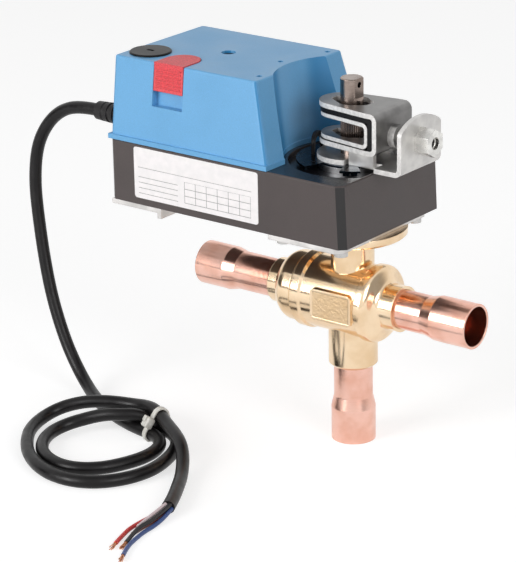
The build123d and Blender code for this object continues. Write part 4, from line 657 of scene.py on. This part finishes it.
# Conductors: colour, angle of the start on a ring in the sheath's end, and route from there
conductors = {
    "red": (srgb(206, 52, 52), 198, [
        (-0.0156, -0.1096, 0.0015),
        (-0.0166, -0.1163, 0.0009),
        (-0.0164, -0.1232, 0.0009),
        (-0.0146, -0.1296, 0.0009),
        (-0.0124, -0.1362, 0.0009),
    ]),
    "grey": (srgb(214, 196, 198), 126, [
        (-0.0143, -0.1099, 0.0032),
        (-0.0140, -0.1152, 0.0027),
        (-0.0146, -0.1206, 0.0010),
    ]),
    "black": (srgb(34, 32, 34), 54, [
        (-0.0120, -0.1100, 0.0034),
        (-0.0117, -0.1162, 0.0027),
        (-0.0119, -0.1228, 0.0026),
        (-0.0110, -0.1284, 0.0015),
        (-0.0096, -0.1334, 0.0009),
    ]),
    "blue": (srgb(58, 84, 140), 342, [
        (-0.0106, -0.1096, 0.0018),
        (-0.0102, -0.1159, 0.0009),
        (-0.0099, -0.1228, 0.0009),
        (-0.0086, -0.1294, 0.0009),
        (-0.0068, -0.1360, 0.0009),
        (-0.0034, -0.1424, 0.0009),
    ]),
    "brown": (srgb(118, 60, 48), 270, [
        (-0.0126, -0.1096, 0.0010),
        (-0.0129, -0.1162, 0.0009),
        (-0.0129, -0.1212, 0.0009),
        (-0.0124, -0.1262, 0.0009),
    ]),
}
sheath_end = Vector(tail[-1])
sheath_run = (sheath_end - Vector(tail[-2])).normalized()
sheath_side = Vector((-sheath_run.y, sheath_run.x, 0.0))
for color_name, (color, angle, route) in conductors.items():
    start = sheath_end + sheath_side * (SHEATH_RING_R * cos(radians(angle)))
    start.z += SHEATH_RING_R * sin(radians(angle))
    insulation = sheath(f"insulation_{color_name}", color, 0.38)
    wire = cord_curve(f"core_{color_name}", [tuple(start)] + route, WIRE_D, insulation)
    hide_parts(f"conductor_{color_name}")

copper_strand = plain_metal("bare_copper_strand", srgb(222, 158, 116), 0.3)


def bare_strands(color_name):
    """The copper strands that stick out of a stripped end, one in the middle of a ring, splayed unevenly."""
    route = conductors[color_name][2]
    end = Vector(route[-1])
    run = (end - Vector(route[-2])).normalized()
    side = Vector((-run.y, run.x, 0.0))
    curve = round_curve(f"strands_{color_name}", STRAND_D, 3)
    for i in range(STRAND_COUNT):
        turn = tau * i / (STRAND_COUNT - 1)
        spread = 0.0 if i == STRAND_COUNT - 1 else STRAND_SPREAD
        offset = side * (spread * cos(turn)) + Vector((0, 0, spread * sin(turn)))
        reach = STRAND_LENGTH * (0.82 + 0.18 * cos(2.3 * i))
        spots = []
        for along, widen in ((-STRAND_HIDDEN, 1.0), (reach / 2, 1.25), (reach, 1.9 + 0.4 * sin(1.7 * i))):
            spot = end + run * along + offset * widen
            spots.append((spot.x, spot.y, max(spot.z, STRAND_D / 2)))
        add_spline(curve, spots)
    return link(f"strands_{color_name}", curve, copper_strand)


strands = {color_name: bare_strands(color_name) for color_name in CONDUCTOR_LENGTHS}


# Mesh pieces
def join_rings(mesh, first, second):
    """Faces from one closed ring of points to the next."""
    for i in range(len(first)):
        j = (i + 1) % len(first)
        mesh.faces.new((first[i], first[j], second[j], second[i]))


def finished(mesh, name):
    """The mesh's data, with its faces pointing outwards."""
    bmesh.ops.recalc_face_normals(mesh, faces=mesh.faces)
    data = bpy.data.meshes.new(name)
    mesh.to_mesh(data)
    mesh.free()
    return data


# Nylon tie: a band round the three strands, with its square head and cut tail on the inner side
tie_across = Vector((cos(TIE_ANGLE), sin(TIE_ANGLE), 0.0))
tie_along = Vector((tie_across.y, -tie_across.x, 0.0))


def hull(points):
    """The outline, anticlockwise, round flat points."""
    points = sorted(points)
    halves = []
    for run in (points, points[::-1]):
        half = []
        for point in run:
            while len(half) > 1:
                (ax, ay), (bx, by) = half[-2:]
                if (bx - ax) * (point[1] - ay) - (by - ay) * (point[0] - ax) > 0:
                    break
                half.pop()
            half.append(point)
        halves += half[:-1]
    return halves


def tie_spot(offset, height, along=0.0):
    """A place in the tie, kept just off the floor."""
    up = Vector((0, 0, max(height, TIE_FLOOR_GAP)))
    return TIE_CENTRE + tie_across * offset + tie_along * along + up


def add_block(mesh, centre, sizes, edge):
    """A box with rounded edges, tilted about the strands' direction."""
    turn = Matrix.Rotation(TIE_HEAD_TILT, 3, "X")
    base = Matrix((tie_along, tie_across, (0, 0, 1))).transposed()
    made = bmesh.ops.create_cube(mesh, size=1.0)["verts"]
    for vert in made:
        local = Vector((vert.co[i] * sizes[i] for i in range(3)))
        vert.co = centre + base @ (turn @ local)
    edges = list({line for vert in made for line in vert.link_edges})
    bmesh.ops.bevel(mesh, geom=edges, offset=edge, segments=3, profile=0.5, affect="EDGES")


def add_tie():
    mesh = bmesh.new()
    radius = CABLE_D / 2 + TIE_CLEARANCE
    outline = []
    for offset, height in TIE_STRANDS:
        for i in range(TIE_STEPS):
            turn = tau * i / TIE_STEPS
            outline.append((offset + radius * cos(turn), height + radius * sin(turn)))
    inner = [Vector(point) for point in hull(outline)]
    # The band's section, as a place along the strands and a share of the thickness
    half = TIE_WIDTH / 2
    flat = half * 0.8
    section = ((-half, 0.0), (-half, 0.7), (-flat, 1.0), (flat, 1.0), (half, 0.7), (half, 0.0))
    rows = []
    for index, point in enumerate(inner):
        run = (inner[(index + 1) % len(inner)] - inner[index - 1]).normalized()
        out = Vector((run.y, -run.x))
        row = []
        for along, share in section:
            spot = point + out * (TIE_THICK * share)
            row.append(mesh.verts.new(tie_spot(spot.x, spot.y + TIE_FLOOR_GAP, along)))
        rows.append(row)
    for row, following in zip(rows, rows[1:] + rows[:1]):
        join_rings(mesh, row, following)
    add_block(mesh, tie_spot(*TIE_HEAD), TIE_HEAD_SIZE, TIE_HEAD_EDGE)
    add_block(mesh, tie_spot(*TIE_TAIL), TIE_TAIL_SIZE, TIE_TAIL_EDGE)
    data = finished(mesh, "wrap_tie")
    for face in data.polygons:
        face.use_smooth = True
    data.set_sharp_from_angle(angle=radians(40))
    return link("wrap_tie", data, nylon("tie_nylon_clear"))


wrap_tie = add_tie()
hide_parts("cable_tie")


def add_label():
    """Thin label on the housing's front face, with rounded corners and a softened front rim."""
    back_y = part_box("gearbox_housing")[0].y
    front_y = back_y - LABEL_THICK
    corners = (
        (LABEL_RIGHT - LABEL_CORNER, LABEL_HIGH - LABEL_CORNER, 0),
        (LABEL_LEFT + LABEL_CORNER, LABEL_HIGH - LABEL_CORNER, 90),
        (LABEL_LEFT + LABEL_CORNER, LABEL_LOW + LABEL_CORNER, 180),
        (LABEL_RIGHT - LABEL_CORNER, LABEL_LOW + LABEL_CORNER, 270),
    )
    mesh = bmesh.new()
    rings = []
    for y, inset in ((back_y, 0.0), (front_y + LABEL_RIM_DEPTH, 0.0), (front_y, LABEL_RIM_INSET)):
        radius = LABEL_CORNER - inset
        ring = []
        for centre_x, centre_z, first in corners:
            for i in range(LABEL_CORNER_STEPS + 1):
                angle = radians(first + 90 * i / LABEL_CORNER_STEPS)
                spot = (centre_x + radius * cos(angle), y, centre_z + radius * sin(angle))
                ring.append(mesh.verts.new(spot))
        rings.append(ring)
    for outer, inner in zip(rings, rings[1:]):
        join_rings(mesh, outer, inner)
    mesh.faces.new(rings[-1])
    mesh.faces.new(list(reversed(rings[0])))
    return link("rating_label", finished(mesh, "rating_label"), ruled_label("label_paper"))


label = add_label()


# Floor, world and lamps
def joined(tree, operation, first, second):
    """Two values put together by one math node."""
    made = tree.nodes.new("ShaderNodeMath")
    made.operation = operation
    tree.links.new(first, made.inputs[0])
    tree.links.new(second, made.inputs[1])
    return made.outputs[0]


def add_floor():
    """Pale floor that is white to the camera and in reflections, and keeps the object's shadow."""
    half = FLOOR_HALF
    corners = [(-half, -half, 0), (half, -half, 0), (half, half, 0), (-half, half, 0)]
    mesh = bpy.data.meshes.new("floor")
    mesh.from_pydata(corners, [], [(0, 1, 2, 3)])
    floor = bpy.data.objects.new("floor", mesh)
    bpy.context.scene.collection.objects.link(floor)
    material = bpy.data.materials.new("floor_paper")
    material.use_nodes = True
    tree = material.node_tree
    tree.nodes.clear()
    path = tree.nodes.new("ShaderNodeLightPath")
    camera_or_glossy = joined(tree, "MAXIMUM", path.outputs["Is Camera Ray"], path.outputs["Is Glossy Ray"])
    looked_at = joined(tree, "MAXIMUM", camera_or_glossy, path.outputs["Is Transmission Ray"])
    paper = tree.nodes.new("ShaderNodeBsdfDiffuse")
    paper.inputs["Color"].default_value = (FLOOR_GREY, FLOOR_GREY, FLOOR_GREY, 1.0)
    glow = tree.nodes.new("ShaderNodeEmission")
    glow.inputs["Color"].default_value = (FLOOR_GLOW, FLOOR_GLOW, FLOOR_GLOW, 1.0)
    tree.links.new(looked_at, glow.inputs["Strength"])
    both = tree.nodes.new("ShaderNodeAddShader")
    tree.links.new(paper.outputs[0], both.inputs[0])
    tree.links.new(glow.outputs[0], both.inputs[1])
    output = tree.nodes.new("ShaderNodeOutputMaterial")
    tree.links.new(both.outputs[0], output.inputs["Surface"])
    mesh.materials.append(material)


def add_world():
    """White to the camera and in reflections, where dark flags stand at both sides and above."""
    world = bpy.data.worlds.new("studio")
    world.use_nodes = True
    bpy.context.scene.world = world
    tree = world.node_tree
    tree.nodes.clear()
    path = tree.nodes.new("ShaderNodeLightPath")
    coords = tree.nodes.new("ShaderNodeTexCoord")
    shades = []
    for direction, darkness in FLAGS:
        dot = tree.nodes.new("ShaderNodeVectorMath")
        dot.operation = "DOT_PRODUCT"
        tree.links.new(coords.outputs["Generated"], dot.inputs[0])
        dot.inputs[1].default_value = Vector(direction).normalized()
        flag = tree.nodes.new("ShaderNodeMapRange")
        flag.interpolation_type = "SMOOTHSTEP"
        tree.links.new(dot.outputs["Value"], flag.inputs[0])
        for socket, value in zip(flag.inputs[1:5], (FLAG_START, FLAG_FULL, 1.0, 1.0 - darkness)):
            socket.default_value = value
        shades.append(flag.outputs[0])
    shade = shades[0]
    for other in shades[1:]:
        shade = joined(tree, "MULTIPLY", shade, other)

    def background(strength):
        made = tree.nodes.new("ShaderNodeBackground")
        made.inputs["Color"].default_value = (1, 1, 1, 1)
        made.inputs["Strength"].default_value = strength
        return made

    def either(factor, first, second):
        made = tree.nodes.new("ShaderNodeMixShader")
        tree.links.new(factor, made.inputs[0])
        tree.links.new(first.outputs[0], made.inputs[1])
        tree.links.new(second.outputs[0], made.inputs[2])
        return made

    reflected = background(1.0)
    tree.links.new(shade, reflected.inputs["Strength"])
    indirect = either(path.outputs["Is Glossy Ray"], background(WORLD_LIGHT), reflected)
    direct = joined(tree, "MAXIMUM", path.outputs["Is Camera Ray"], path.outputs["Is Transmission Ray"])
    output = tree.nodes.new("ShaderNodeOutputWorld")
    tree.links.new(either(direct, indirect, background(1.0)).outputs[0], output.inputs["Surface"])


def add_lamp(name, place, target, size, power):
    """A square area lamp that points at the target."""
    data = bpy.data.lights.new(name, "AREA")
    data.shape = "SQUARE"
    data.size = size
    data.energy = power
    lamp = bpy.data.objects.new(name, data)
    bpy.context.scene.collection.objects.link(lamp)
    lamp.location = place
    lamp.rotation_mode = "QUATERNION"
    lamp.rotation_quaternion = (Vector(target) - Vector(place)).to_track_quat("-Z", "Y")


add_floor()
add_world()
add_lamp("key_front_left", (-0.50, -1.35, 0.55), (-0.04, 0.0, 0.08), size=0.8, power=15.0)
add_lamp("fill_front_right", (1.25, -0.45, 0.65), (-0.02, 0.0, 0.10), size=0.7, power=7.5)
add_lamp("back_top", (-0.2, 0.9, 1.2), (-0.04, 0.0, 0.10), size=0.8, power=1.2)

bpy.context.scene.view_settings.view_transform = "Standard"
